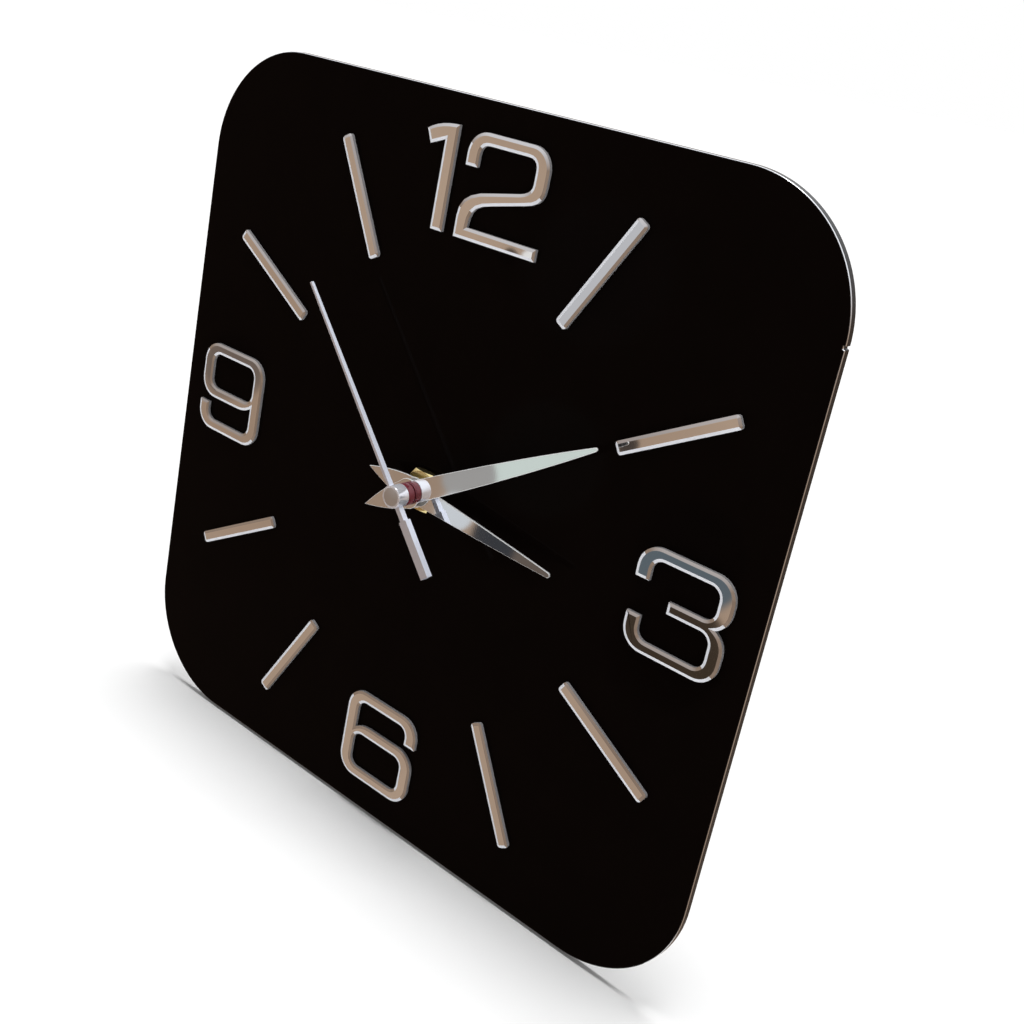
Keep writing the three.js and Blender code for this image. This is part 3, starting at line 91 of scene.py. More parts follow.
class Graph:
    """The nodes of one material, which read the piece's own Object coordinates."""

    def __init__(self, name: str) -> None:
        """Starts a material.

        Args:
            name: The material's name.
        """
        self.material = bpy.data.materials.new(name)
        self.material.use_nodes = True
        self.tree = self.material.node_tree
        self.shader = self.tree.nodes["Principled BSDF"]
        self.place = self.add("ShaderNodeTexCoord").outputs["Object"]

    def add(self, kind: str, **settings: object) -> bpy.types.Node:
        """Adds a node.

        Args:
            kind: The node's class name.
            settings: Its properties.

        Returns:
            The new node.
        """
        node = self.tree.nodes.new(kind)
        for name, value in settings.items():
            setattr(node, name, value)
        return node

    def link(self, source: Socket, target: Socket) -> None:
        """Joins an output to an input."""
        self.tree.links.new(source, target)

    def stretched(self, scale: Sequence[float]) -> Socket:
        """The piece's coordinates, scaled by axis.

        Args:
            scale: The factor for X, Y and Z.

        Returns:
            The mapped coordinates.
        """
        mapping = self.add("ShaderNodeMapping")
        mapping.inputs["Scale"].default_value = scale
        self.link(self.place, mapping.inputs["Vector"])
        return mapping.outputs["Vector"]

    def noise(self, scale: float, detail: float = 3, place: Socket | None = None) -> Socket:
        """Soft random mottling.

        Args:
            scale: Its features for each metre.
            detail: How many finer layers it has.
            place: The coordinates it reads, or the piece's own.

        Returns:
            Values from 0 to 1.
        """
        node = self.add("ShaderNodeTexNoise")
        node.inputs["Scale"].default_value = scale
        node.inputs["Detail"].default_value = detail
        self.link(place or self.place, node.inputs["Vector"])
        return node.outputs["Fac"]

    def specks(self, scale: float, size: float) -> Socket:
        """Small round specks, one in each cell.

        Args:
            scale: Cells for each metre.
            size: A speck's radius as a share of its cell.

        Returns:
            1 on a speck and 0 elsewhere.
        """
        node = self.add("ShaderNodeTexVoronoi")
        node.inputs["Scale"].default_value = scale
        self.link(self.place, node.inputs["Vector"])
        return self.calculate(node.outputs["Distance"], "LESS_THAN", size)

    def calculate(self, value: Socket, operation: str, number: float) -> Socket:
        """One maths step on a value.

        Args:
            value: The value.
            operation: The Math node's operation.
            number: Its second number.

        Returns:
            The result.
        """
        node = self.add("ShaderNodeMath", operation=operation)
        self.link(value, node.inputs[0])
        node.inputs[1].default_value = number
        return node.outputs[0]

    def ramp(self, value: Socket, stops: Stops) -> Socket:
        """Colours by value.

        Args:
            value: What picks the colour.
            stops: Each position with its colour.

        Returns:
            The colour.
        """
        node = self.add("ShaderNodeValToRGB")
        elements = node.color_ramp.elements
        while len(elements) < len(stops):
            elements.new(0.5)
        for element, (position, colour) in zip(elements, stops):
            element.position = position
            element.color = (*colour, 1)
        self.link(value, node.inputs["Fac"])
        return node.outputs["Color"]

    def spread(self, value: Socket, low: float, high: float) -> Socket:
        """Spreads a value from 0..1 over a range.

        Args:
            value: The value.
            low: What 0 becomes.
            high: What 1 becomes.

        Returns:
            The spread value.
        """
        node = self.add("ShaderNodeMapRange")
        self.link(value, node.inputs["Value"])
        node.inputs["To Min"].default_value = low
        node.inputs["To Max"].default_value = high
        return node.outputs["Result"]

    def bump(self, height: Socket, depth: float) -> None:
        """Raises the surface by a pattern.

        Args:
            height: The pattern.
            depth: Its full height in metres.
        """
        node = self.add("ShaderNodeBump")
        node.inputs["Distance"].default_value = depth
        self.link(height, node.inputs["Height"])
        before = self.shader.inputs["Normal"].links
        if before:
            self.link(before[0].from_socket, node.inputs["Normal"])
        self.link(node.outputs["Normal"], self.shader.inputs["Normal"])

    def radius(self) -> Socket:
        """The distance from the hands' axis.

        Returns:
            The distance in metres.
        """
        length = self.add("ShaderNodeVectorMath", operation="LENGTH")
        self.link(self.stretched((1, 0, 1)), length.inputs[0])
        return length.outputs["Value"]


# ---------------------------------------------------------------- finishes


@dataclass(frozen=True)
class Finish:
    """A surface with one colour, gently mottled, and a fine texture.

    Attributes:
        name: The material's name.
        colour: Its main colour.
        roughness: Its lowest roughness.
        uneven: How much rougher it gets in patches.
        metallic: 1 for bare metal.
        mottle: How much darker its patches are, as a share.
        grain: Features of its texture for each metre.
        relief: The texture's height in metres.
        specular: The strength of its gloss.
    """

    name: str
    colour: Colour
    roughness: float
    uneven: float = 0.06
    metallic: float = 0
    mottle: float = 0.12
    grain: float = 2200
    relief: float = 4e-6
    specular: float = 0.5

    def material(self) -> bpy.types.Material:
        """The finish as a material, made once."""
        return bpy.data.materials.get(self.name) or self.build()

    def build(self) -> bpy.types.Material:
        """Builds the material's nodes.

        Returns:
            The material.
        """
        graph = Graph(self.name)
        inputs = graph.shader.inputs
        inputs["Metallic"].default_value = self.metallic
        inputs["Specular IOR Level"].default_value = self.specular
        patches = graph.noise(70, 4)
        darker = tuple(channel * (1 - self.mottle) for channel in self.colour)
        graph.link(graph.ramp(patches, [(0.3, darker), (0.7, self.colour)]), inputs["Base Color"])
        rough = graph.spread(patches, self.roughness, self.roughness + self.uneven)
        graph.link(rough, inputs["Roughness"])
        self.texture(graph)
        return graph.material

    def texture(self, graph: Graph) -> None:
        """Adds the fine texture.

        Args:
            graph: The material's nodes.
        """
        graph.bump(graph.noise(self.grain, 2), self.relief)


@dataclass(frozen=True)
class GlossSheet(Finish):
    """Cast acrylic sheet: deep gloss with slight waves and specks of dust.

    Attributes:
        wave: The height of its waves in metres.
        dust: The dust's colour.
    """

    wave: float = 25e-6
    dust: Colour = (0.16, 0.15, 0.14)

    def texture(self, graph: Graph) -> None:
        """Adds waves and dust.

        Args:
            graph: The material's nodes.
        """
        graph.bump(graph.noise(14, 1), self.wave)
        mix = graph.add("ShaderNodeMix", data_type="RGBA")
        base = graph.shader.inputs["Base Color"]
        graph.link(graph.specks(34, 0.006), mix.inputs["Factor"])
        graph.link(base.links[0].from_socket, mix.inputs[MIX_BELOW])
        mix.inputs[MIX_ABOVE].default_value = (*self.dust, 1)
        graph.link(mix.outputs[MIX_RESULT], base)


@dataclass(frozen=True)
class LaserCut(Finish):
    """A laser-cut edge: glossy, with fine lines through the sheet's thickness.

    Attributes:
        scale: The lines' fineness along X, Y and Z.
    """

    scale: Colour = (1900, 60, 1900)

    def texture(self, graph: Graph) -> None:
        """Adds the lines.

        Args:
            graph: The material's nodes.
        """
        graph.bump(graph.noise(1, 2, graph.stretched(self.scale)), self.relief)


@dataclass(frozen=True)
class Mirror(Finish):
    """Silvered acrylic: a mirror with the slight waves of cast sheet, under a clear gloss.

    Attributes:
        clear: The strength of the clear layer's gloss.
    """

    clear: float = 0.4

    def texture(self, graph: Graph) -> None:
        """Adds the clear layer and the waves.

        Args:
            graph: The material's nodes.
        """
        graph.shader.inputs["Coat Weight"].default_value = self.clear
        graph.bump(graph.noise(55, 2), self.relief)


@dataclass(frozen=True)
class Brushed(Finish):
    """Metal with very fine lines along one direction.

    Attributes:
        scale: The lines' fineness along X, Y and Z.
    """

    scale: Colour = (3000, 3000, 60)

    def texture(self, graph: Graph) -> None:
        """Adds the lines.

        Args:
            graph: The material's nodes.
        """
        graph.bump(graph.noise(1, 3, graph.stretched(self.scale)), self.relief)


@dataclass(frozen=True)
class Turned(Finish):
    """A lathe-turned surface, with rings about the hands' axis.

    Attributes:
        pitch: The distance between rings.
    """

    pitch: float = 0.12 * MM

    def texture(self, graph: Graph) -> None:
        """Adds the rings.

        Args:
            graph: The material's nodes.
        """
        turns = graph.calculate(graph.radius(), "MULTIPLY", 2 * math.pi / self.pitch)
        rings = graph.add("ShaderNodeMath", operation="SINE")
        graph.link(turns, rings.inputs[0])
        graph.bump(rings.outputs[0], self.relief)
        graph.bump(graph.noise(self.grain, 2), self.relief)


@dataclass(frozen=True)
class Wound(Finish):
    """Fine wire wound in turns along Z.

    Attributes:
        pitch: The wire's thickness.
    """

    pitch: float = 0.16 * MM

    def texture(self, graph: Graph) -> None:
        """Adds the turns of wire.

        Args:
            graph: The material's nodes.
        """
        wave = graph.add("ShaderNodeTexWave", bands_direction="Z")
        wave.inputs["Scale"].default_value = 1 / (self.pitch * 20) * math.pi
        wave.inputs["Distortion"].default_value = 0.4
        graph.link(graph.place, wave.inputs["Vector"])
        graph.bump(wave.outputs["Fac"], self.relief)


@dataclass(frozen=True)
class Circuit(Finish):
    """Solder mask over copper tracks.

    Attributes:
        track: The colour over a track.
    """

    track: Colour = (0.05, 0.30, 0.12)

    def texture(self, graph: Graph) -> None:
        """Adds the tracks.

        Args:
            graph: The material's nodes.
        """
        bricks = graph.add("ShaderNodeTexBrick")
        bricks.inputs["Scale"].default_value = 420
        bricks.inputs["Mortar Size"].default_value = 0.07
        bricks.inputs["Color1"].default_value = (*self.colour, 1)
        bricks.inputs["Color2"].default_value = (*self.colour, 1)
        bricks.inputs["Mortar"].default_value = (*self.track, 1)
        spin = graph.add("ShaderNodeMapping")
        spin.inputs["Rotation"].default_value = (math.pi / 2, 0, 0)
        graph.link(graph.place, spin.inputs["Vector"])
        graph.link(spin.outputs["Vector"], bricks.inputs["Vector"])
        graph.link(bricks.outputs["Color"], graph.shader.inputs["Base Color"])
        graph.bump(bricks.outputs["Fac"], self.relief)


@dataclass(frozen=True)
class Banded(Finish):
    """A printed film with bright steel at both ends of the cell.

    Attributes:
        half: Half the length that the film covers, along X.
        band: Where the coloured band starts.
        tint: The band's colour.
        steel: The colour of the ends.
    """

    half: float = 24.4 * MM
    band: float = 12.5 * MM
    tint: Colour = (0.62, 0.36, 0.12)
    steel: Colour = (0.62, 0.63, 0.64)

    def texture(self, graph: Graph) -> None:
        """Paints the bands along the cell.

        Args:
            graph: The material's nodes.
        """
        split = graph.add("ShaderNodeSeparateXYZ")
        graph.link(graph.place, split.inputs[0])
        along = graph.add("ShaderNodeMapRange")
        graph.link(split.outputs["X"], along.inputs["Value"])
        along.inputs["From Min"].default_value = -self.half
        along.inputs["From Max"].default_value = self.half
        start = (self.band + self.half) / (2 * self.half)
        stops = [(0.0, self.steel), (0.004, self.colour), (start, self.colour)]
        stops += [(start + 0.01, self.tint), (0.99, self.tint), (0.998, self.steel)]
        colours = graph.ramp(along.outputs["Result"], stops)
        graph.link(colours, graph.shader.inputs["Base Color"])


BLACK_ACRYLIC = GlossSheet("black_acrylic_face", (0.0030, 0.0017, 0.0013), 0.03, 0.03,
                           specular=0.012)
BLACK_CUT = LaserCut("black_acrylic_edge", (0.004, 0.004, 0.005), 0.14, 0.08, relief=6e-6,
                     specular=0.28)
# Painted highlight: bright pale metal on the black plate's upper and right arris, where light
# glints.
PAINTED_ARRIS_HIGHLIGHT = Finish("black_acrylic_arris_painted_highlight", (0.80, 0.80, 0.82), 0.16, 0.06, metallic=1, mottle=0.04)
MIRROR_FACE = Mirror("mirror_acrylic_face", (0.93, 0.92, 0.91), 0.015, 0.02, metallic=1,
                     mottle=0.02, relief=14e-6)
# Painted highlight and painted shade on the numerals' and bars' sloping rims: pale grey where a
# rim looks down or left, a darker mirror where it looks up or right.
RIM_PAINTED_HIGHLIGHT = LaserCut("mirror_rim_painted_highlight", (0.86, 0.87, 0.92), 0.20, 0.12, relief=8e-6)
RIM_PAINTED_SHADE = Mirror("mirror_rim_painted_shade", (0.62, 0.62, 0.64), 0.06, 0.04, metallic=1, mottle=0.03,
                 relief=14e-6)
# The walls' grey is partly the cut edge's own colour and partly a painted reflection of the black
# dial in the clear acrylic.
WALL_CUT_AND_PAINTED_REFLECTION = LaserCut("mirror_acrylic_wall_painted_reflection", (0.36, 0.35, 0.36), 0.16, 0.10, relief=8e-6)
HAND_METAL = Brushed("hand_aluminium", (0.92, 0.93, 0.94), 0.015, 0.025, metallic=1, mottle=0.03,
                     relief=0.3e-6)
HAND_EDGE = Finish("hand_edge", (0.93, 0.94, 0.95), 0.25, 0.10, metallic=0.35, mottle=0.04)
BAR_FACE = Finish("second_hand_face", (0.62, 0.61, 0.66), 0.38, 0.08, metallic=0.8, mottle=0.06)
BAR_SIDE = Finish("second_hand_side", (0.84, 0.88, 1.0), 0.30, 0.08, metallic=0.15, mottle=0.05)
CAP_FACE = Turned("cap_face", (0.60, 0.60, 0.62), 0.34, 0.05, metallic=1, mottle=0.05,
                  relief=0.8e-6)
CAP_WALL = Finish("cap_wall", (0.90, 0.90, 0.96), 0.16, 0.06, metallic=0.55, mottle=0.04)
RED_PLASTIC = Finish("red_plastic", (0.045, 0.001, 0.002), 0.25, 0.08, specular=0.05)
BRASS = Turned("turned_brass", (0.84, 0.69, 0.34), 0.20, 0.10, metallic=1, relief=1.5e-6)
RUBBER = Finish("gasket_rubber", (0.018, 0.018, 0.018), 0.75, 0.15, grain=3500, relief=12e-6)
ZINC = Finish("zinc_plated_steel", (0.66, 0.68, 0.70), 0.24, 0.18, metallic=1, mottle=0.2)
BLACK_ABS = Finish("black_moulded_plastic", (0.020, 0.021, 0.024), 0.46, 0.10, grain=4200,
                   relief=9e-6)
KNOB_ABS = Finish("knob_plastic", (0.035, 0.036, 0.040), 0.34, 0.10, grain=3600, relief=5e-6)
ACETAL = Finish("white_acetal", (0.80, 0.79, 0.74), 0.38, 0.12)
MAGNET = Finish("sintered_magnet", (0.22, 0.23, 0.25), 0.42, 0.15, metallic=1, relief=9e-6)
COPPER = Wound("enamelled_copper", (0.62, 0.24, 0.10), 0.28, 0.10, metallic=0.7, relief=30e-6)
BOARD = Circuit("solder_mask", (0.02, 0.16, 0.06), 0.30, 0.08, relief=20e-6)
EPOXY = Finish("epoxy_drop", (0.012, 0.012, 0.013), 0.22, 0.12)
CELL_WRAP = Banded("cell_wrap", (0.045, 0.055, 0.075), 0.22, 0.08)


# ---------------------------------------------------------------- modelling by hand


class Sheet(IntEnum):
    """The plate's finishes, in their order."""

    FACE = 0
    CUT = 1
    # The arris finish is a painted highlight.
    PAINTED_ARRIS_HIGHLIGHT = 2


class Trim(IntEnum):
    """The finishes of a numeral or bar, in their order."""

    FACE = 0
    # The two rim finishes are a painted highlight and painted shade.
    LIT_RIM = 1
    DIM_RIM = 2
    WALL = 3


class Cut(Enum):
    """How a boolean treats its tool."""

    REMOVE = "DIFFERENCE"
    KEEP_COMMON = "INTERSECT"


def deselect() -> None:
    """Leaves nothing selected, in object mode."""
    if bpy.context.object and bpy.context.object.mode != "OBJECT":
        bpy.ops.object.mode_set(mode="OBJECT")
    bpy.ops.object.select_all(action="DESELECT")


def activate(piece: Mesh) -> None:
    """Selects only this piece and makes it active."""
    deselect()
    piece.select_set(True)
    bpy.context.view_layer.objects.active = piece


def start(name: str) -> Mesh:
    """Names the primitive that was just added, with its place in its mesh.

    Args:
        name: The piece's name.

    Returns:
        The piece.
    """
    piece = bpy.context.object
    piece.name = name
    piece.data.name = name
    bpy.ops.object.transform_apply(location=True, rotation=True, scale=True)
    return piece


def edit(piece: Mesh) -> bmesh.types.BMesh:
    """Opens a piece in edit mode.

    Args:
        piece: The piece.

    Returns:
        Its edit mesh.
    """
    activate(piece)
    bpy.ops.object.mode_set(mode="EDIT")
    return bmesh.from_edit_mesh(piece.data)


def choose_faces(piece: Mesh, wanted: Callable[[bmesh.types.BMFace], bool]) -> None:
    """Opens a piece in edit mode with only some faces selected.

    Args:
        piece: The piece.
        wanted: Says whether a face is selected.
    """
    mesh = edit(piece)
    bpy.ops.mesh.select_mode(type="FACE")
    bpy.ops.mesh.select_all(action="DESELECT")
    for face in mesh.faces:
        if wanted(face):
            face.select_set(True)
    bmesh.update_edit_mesh(piece.data)


def apply_modifier(piece: Mesh, kind: str, **settings: object) -> None:
    """Adds a modifier and applies it.

    Args:
        piece: The piece.
        kind: The modifier's type.
        settings: Its properties.
    """
    activate(piece)
    modifier = piece.modifiers.new(kind.lower(), kind)
    for name, value in settings.items():
        setattr(modifier, name, value)
    bpy.ops.object.modifier_apply(modifier=modifier.name)


def round_edges(piece: Mesh, width: float, segments: int = 2, angle: float = 35) -> None:
    """Rounds every edge that is sharper than an angle.

    Args:
        piece: The piece.
        width: The round's width in metres.
        segments: Its steps.
        angle: The angle in degrees.
    """
    apply_modifier(
        piece,
        "BEVEL",
        width=width,
        segments=segments,
        limit_method="ANGLE",
        angle_limit=math.radians(angle),
        harden_normals=False,
    )


def combine(piece: Mesh, tool: Mesh, how: Cut) -> None:
    """Changes a piece by a tool's shape, and removes the tool.

    Args:
        piece: The piece.
        tool: The tool.
        how: What the tool does.
    """
    apply_modifier(piece, "BOOLEAN", object=tool, operation=how.value, solver="EXACT")
    bpy.data.objects.remove(tool)


def tidy(piece: Mesh) -> None:
    """Merges doubled vertices and turns all faces outwards.

    Args:
        piece: The piece.
    """
    edit(piece)
    bpy.ops.mesh.select_all(action="SELECT")
    bpy.ops.mesh.remove_doubles(threshold=MERGE_DISTANCE)
    bpy.ops.mesh.normals_make_consistent(inside=False)
    bpy.ops.object.mode_set(mode="OBJECT")


def smooth(piece: Mesh, angle: float) -> None:
    """Shades a piece smoothly over its shallow edges.

    Args:
        piece: The piece.
        angle: The largest angle that is smoothed.
    """
    activate(piece)
    bpy.ops.object.shade_smooth_by_angle(angle=angle)


def drum(name: str, centre: Vector, radius: float, depth: float,
         vertices: int = ROUND_STEPS) -> Mesh:
    """A cylinder that lies along Y.

    Args:
        name: Its name.
        centre: Its middle.
        radius: Its radius.
        depth: Its length.
        vertices: Its sides.

    Returns:
        The cylinder.
    """
    deselect()
    turn = Vector((0, 0, 1)).rotation_difference(ALONG_Y).to_euler()
    bpy.ops.mesh.primitive_cylinder_add(
        vertices=vertices, radius=radius, depth=depth, location=centre, rotation=turn
    )
    return start(name)


def brick(name: str, low: Vector, high: Vector) -> Mesh:
    """A box between two corners.

    Args:
        name: Its name.
        low: Its lowest corner.
        high: Its highest corner.

    Returns:
        The box.
    """
    deselect()
    bpy.ops.mesh.primitive_cube_add(size=1, location=(low + high) / 2)
    bpy.context.object.scale = high - low
    return start(name)


def rounded_sheet(name: str, size: Point, back: Vector, corner: float, steps: int,
                  depth: float) -> Mesh:
    """Cuts a sheet with round corners that faces the front.

    Args:
        name: Its name.
        size: Its width along X and its height along Z.
        back: The middle of its back.
        corner: The radius of its corners.
        steps: The steps of each corner.
        depth: Its thickness.

    Returns:
        The sheet.
    """
    deselect()
    bpy.ops.mesh.primitive_plane_add(size=1, location=back, rotation=(math.pi / 2, 0, 0))
    bpy.context.object.scale = (*size, 1)
    piece = start(name)
    edit(piece)
    bpy.ops.mesh.select_all(action="SELECT")
    bpy.ops.mesh.bevel(offset=corner, segments=steps, affect="VERTICES", profile=0.5)
    bpy.ops.mesh.select_all(action="SELECT")
    bpy.ops.mesh.extrude_region_move(TRANSFORM_OT_translate={"value": (0, -depth, 0)})
    bpy.ops.object.mode_set(mode="OBJECT")
    tidy(piece)
    return piece


def turn_profile(name: str, outline: Sequence[Point]) -> Mesh:
    """Spins an outline about the hands' axis, as on a lathe.

    Args:
        name: The piece's name.
        outline: Each corner's radius and its Y.

    Returns:
        The turned piece.
    """
    points = [Vector((radius, height, 0)) for radius, height in outline]
    deselect()
    bpy.ops.mesh.primitive_plane_add(size=MM, location=points[0])
    piece = start(name)
    edit(piece)
    bpy.ops.mesh.select_mode(type="VERT")
    bpy.ops.mesh.select_all(action="SELECT")
    bpy.ops.mesh.merge(type="CENTER")
    for before, after in zip(points, points[1:]):
        bpy.ops.mesh.extrude_region_move(TRANSFORM_OT_translate={"value": after - before})
    bpy.ops.mesh.select_all(action="SELECT")
    bpy.ops.mesh.spin(steps=ROUND_STEPS, angle=2 * math.pi, center=(0, 0, 0), axis=ALONG_Y)
    bpy.ops.object.mode_set(mode="OBJECT")
    tidy(piece)
    return piece


def turn_about_hands(piece: Mesh, angle: float) -> None:
    """Turns a piece clockwise about the hands' axis, as seen from the front.

    Args:
        piece: The piece.
        angle: The angle in radians.
    """
    activate(piece)
    piece.rotation_euler = (0, angle, 0)
    bpy.ops.object.transform_apply(location=False, rotation=True, scale=False)


def merged_copy(node: str, name: str) -> Mesh:
    """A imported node's shape as a new piece, with its flat faces whole.

    Args:
        node: The node.
        name: The new piece's name.

    Returns:
        The copy.
    """
    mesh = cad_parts[node].data.copy()
    piece = bpy.data.objects.new(name, mesh)
    bpy.context.scene.collection.objects.link(piece)
    mesh.materials.clear()
    activate(piece)
    bpy.ops.mesh.customdata_custom_splitnormals_clear()
    edit(piece)
    bpy.ops.mesh.select_all(action="SELECT")
    bpy.ops.mesh.remove_doubles(threshold=MERGE_DISTANCE)
    bpy.ops.mesh.dissolve_limited(angle_limit=math.radians(0.4))
    bpy.ops.object.mode_set(mode="OBJECT")
    return piece


def dress(piece: Mesh, body: str, finishes: Sequence[Finish],
          pick: Callable[[bpy.types.MeshPolygon], int] | None = None,
          nodes: Iterable[str] = (), angle: float = SMOOTH_ANGLE) -> Mesh:
    """Gives a piece its finishes and hangs it on its body.

    Args:
        piece: The piece.
        body: The body it moves with.
        finishes: Its finishes.
        pick: Says which finish a face takes, when there are several.
        nodes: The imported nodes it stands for.
        angle: The largest angle between faces that is shaded smoothly.

    Returns:
        The piece.
    """
    piece.data.materials.clear()
    for finish in finishes:
        piece.data.materials.append(finish.material())
    for polygon in piece.data.polygons:
        polygon.material_index = pick(polygon) if pick else 0
    smooth(piece, angle)
    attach(piece, body)
    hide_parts(*nodes)
    LOG.info("%s rides on %s, %d faces", piece.name, body, len(piece.data.polygons))
    return piece


def extent(node: str) -> tuple[Vector, Vector, Vector]:
    """A node's lowest corner, highest corner and size."""
    low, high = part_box(node)
    return low, high, high - low


def faces_front(polygon: bpy.types.MeshPolygon | bmesh.types.BMFace) -> bool:
    """True for a face that looks straight to the front."""
    return polygon.normal.y < -FACING


def front_or_side(polygon: bpy.types.MeshPolygon) -> int:
    """The first finish for a face that looks to the front, the second for the others."""
    return 0 if faces_front(polygon) else 1


# ---------------------------------------------------------------- dial


@dataclass
class DialPlate:
    """The black acrylic sheet, laser cut and bored for the movement's bush.

    Attributes:
        corner: The radius of its corners.
        arris: The width of its polished edge.
        bore: The radius of its centre hole.
        nick_width: The width of the small nick where the cut starts.
        nick_depth: Its depth.
    """

    corner: float = 43 * MM
    arris: float = 0.36 * MM
    bore: float = 4.3 * MM
    nick_width: float = 0.9 * MM
    nick_depth: float = 0.7 * MM

    def build(self) -> Mesh:
        """Cuts and polishes the plate.

        Returns:
            The plate.
        """
        low, high, size = extent("dial_plate")
        back = Vector((0, high.y, 0))
        outline = (size.x, size.x)
        plate = rounded_sheet("acrylic_dial", outline, back, self.corner, 28, size.y)
        middle = Vector((0, (low.y + high.y) / 2, 0))
        combine(plate, drum("bore", middle, self.bore, 3 * size.y), Cut.REMOVE)
        nick_z = high.z - self.corner
        nick = brick(
            "nick",
            Vector((high.x - self.nick_depth, low.y - size.y, nick_z - self.nick_width / 2)),
            Vector((high.x + size.y, high.y + size.y, nick_z + self.nick_width / 2)),
        )
        combine(plate, nick, Cut.REMOVE)
        round_edges(plate, self.arris, 3)
        return dress(
            plate,
            "dial",
            # The last finish is the painted highlight on the arris.
            (BLACK_ACRYLIC, BLACK_CUT, PAINTED_ARRIS_HIGHLIGHT),
            self.zone,
            ("dial_plate",),
            FLAT_ANGLE,
        )

    def zone(self, face: bpy.types.MeshPolygon) -> int:
        """Tells the plate's faces from its cut edge and its upper and right arris, which carries
        a painted highlight.

        Args:
            face: The face.

        Returns:
            The number of its finish.
        """
        if abs(face.normal.y) > FACING:
            return Sheet.FACE
        on_rim = face.center.xz.length > 10 * self.bore
        upward = face.normal.x + face.normal.z > 0.1
        slopes = -0.95 < face.normal.y < -0.25
        # Arris faces that look up or right take the painted highlight; the rest keep the black
        # cut edge.
        return Sheet.PAINTED_ARRIS_HIGHLIGHT if on_rim and upward and slopes else Sheet.CUT


@dataclass
class MirrorTrim:
    """The numerals and bars: clear acrylic with a silvered back.

    Attributes:
        rim: The width of the sloping rim round the front.
        rim_drop: How far the rim slopes back.
        bar_corner: The radius of a bar's corners.
        hours: The hours that have a bar.
    """

    rim: float = 1.05 * MM
    rim_drop: float = 0.3 * MM
    bar_corner: float = 1.2 * MM
    hours: tuple[int, ...] = (1, 2, 4, 5, 7, 8, 10, 11)

    def build(self) -> None:
        """Makes every numeral and bar."""
        for node in ("numeral_12_one", "numeral_12_two", "numeral_3", "numeral_6", "numeral_9"):
            piece = merged_copy(node, node.replace("numeral", "mirror_numeral"))
            self.finish(piece, node)
        for hour in self.hours:
            node = f"hour_bar_{hour:02d}"
            self.finish(self.bar(node, hour), node)

    def bar(self, node: str, hour: int) -> Mesh:
        """Shapes one bar and turns it to its hour.

        Args:
            node: The bar's node.
            hour: Its hour.

        Returns:
            The bar.
        """
        low, high, size = extent(node)
        angle = math.radians(30 * hour)
        sine, cosine = abs(math.sin(angle)), abs(math.cos(angle))
        round_share = 2 * self.bar_corner * (1 - sine - cosine)
        wide, tall = size.x - round_share, size.z - round_share
        length = (wide * sine - tall * cosine) / (sine**2 - cosine**2)
        width = (tall * sine - wide * cosine) / (sine**2 - cosine**2)
        reach = ((low + high) / 2).xz.length
        back = Vector((0, high.y, reach))
        name = f"mirror_bar_{hour:02d}"
        piece = rounded_sheet(name, (width, length), back, self.bar_corner, 8, size.y)
        turn_about_hands(piece, angle)
        return piece

    def finish(self, piece: Mesh, node: str) -> None:
        """Slopes a piece's rim and gives its face, rim and walls their finishes.

        Args:
            piece: The piece.
            node: The node it stands for.
        """
        self.slope_rim(piece)
        dress(
            piece,
            "dial",
            # The rim finishes carry a painted highlight and painted shade.
            (MIRROR_FACE, RIM_PAINTED_HIGHLIGHT, RIM_PAINTED_SHADE, WALL_CUT_AND_PAINTED_REFLECTION),
            self.zone,
            (node,),
            FLAT_ANGLE,
        )

    def slope_rim(self, piece: Mesh) -> None:
        """Lets the rim of a piece's face slope back to its walls.

        Args:
            piece: The piece.
        """
        front = min(vertex.co.y for vertex in piece.data.vertices) + MERGE_DISTANCE
        for vertex in piece.data.vertices:
            if vertex.co.y < front:
                vertex.co.y += self.rim_drop
        choose_faces(piece, faces_front)
        bpy.ops.mesh.inset(thickness=self.rim, depth=self.rim_drop)
        bpy.ops.object.mode_set(mode="OBJECT")

    def zone(self, face: bpy.types.MeshPolygon) -> int:
        """Tells the mirror face from its rim with a painted highlight, its rim with painted
        shade, and its walls.

        Args:
            face: The face.

        Returns:
            The number of its finish.
        """
        if faces_front(face):
            return Trim.FACE
        # Walls take the grey that is partly a painted reflection of the dial.
        if face.normal.y > -0.2:
            return Trim.WALL
        # Rim faces looking down or left take the painted highlight, the others the painted shade.
        looks_down = face.normal.z + 0.6 * face.normal.x < 0
        return Trim.LIT_RIM if looks_down else Trim.DIM_RIM


# ---------------------------------------------------------------- centre


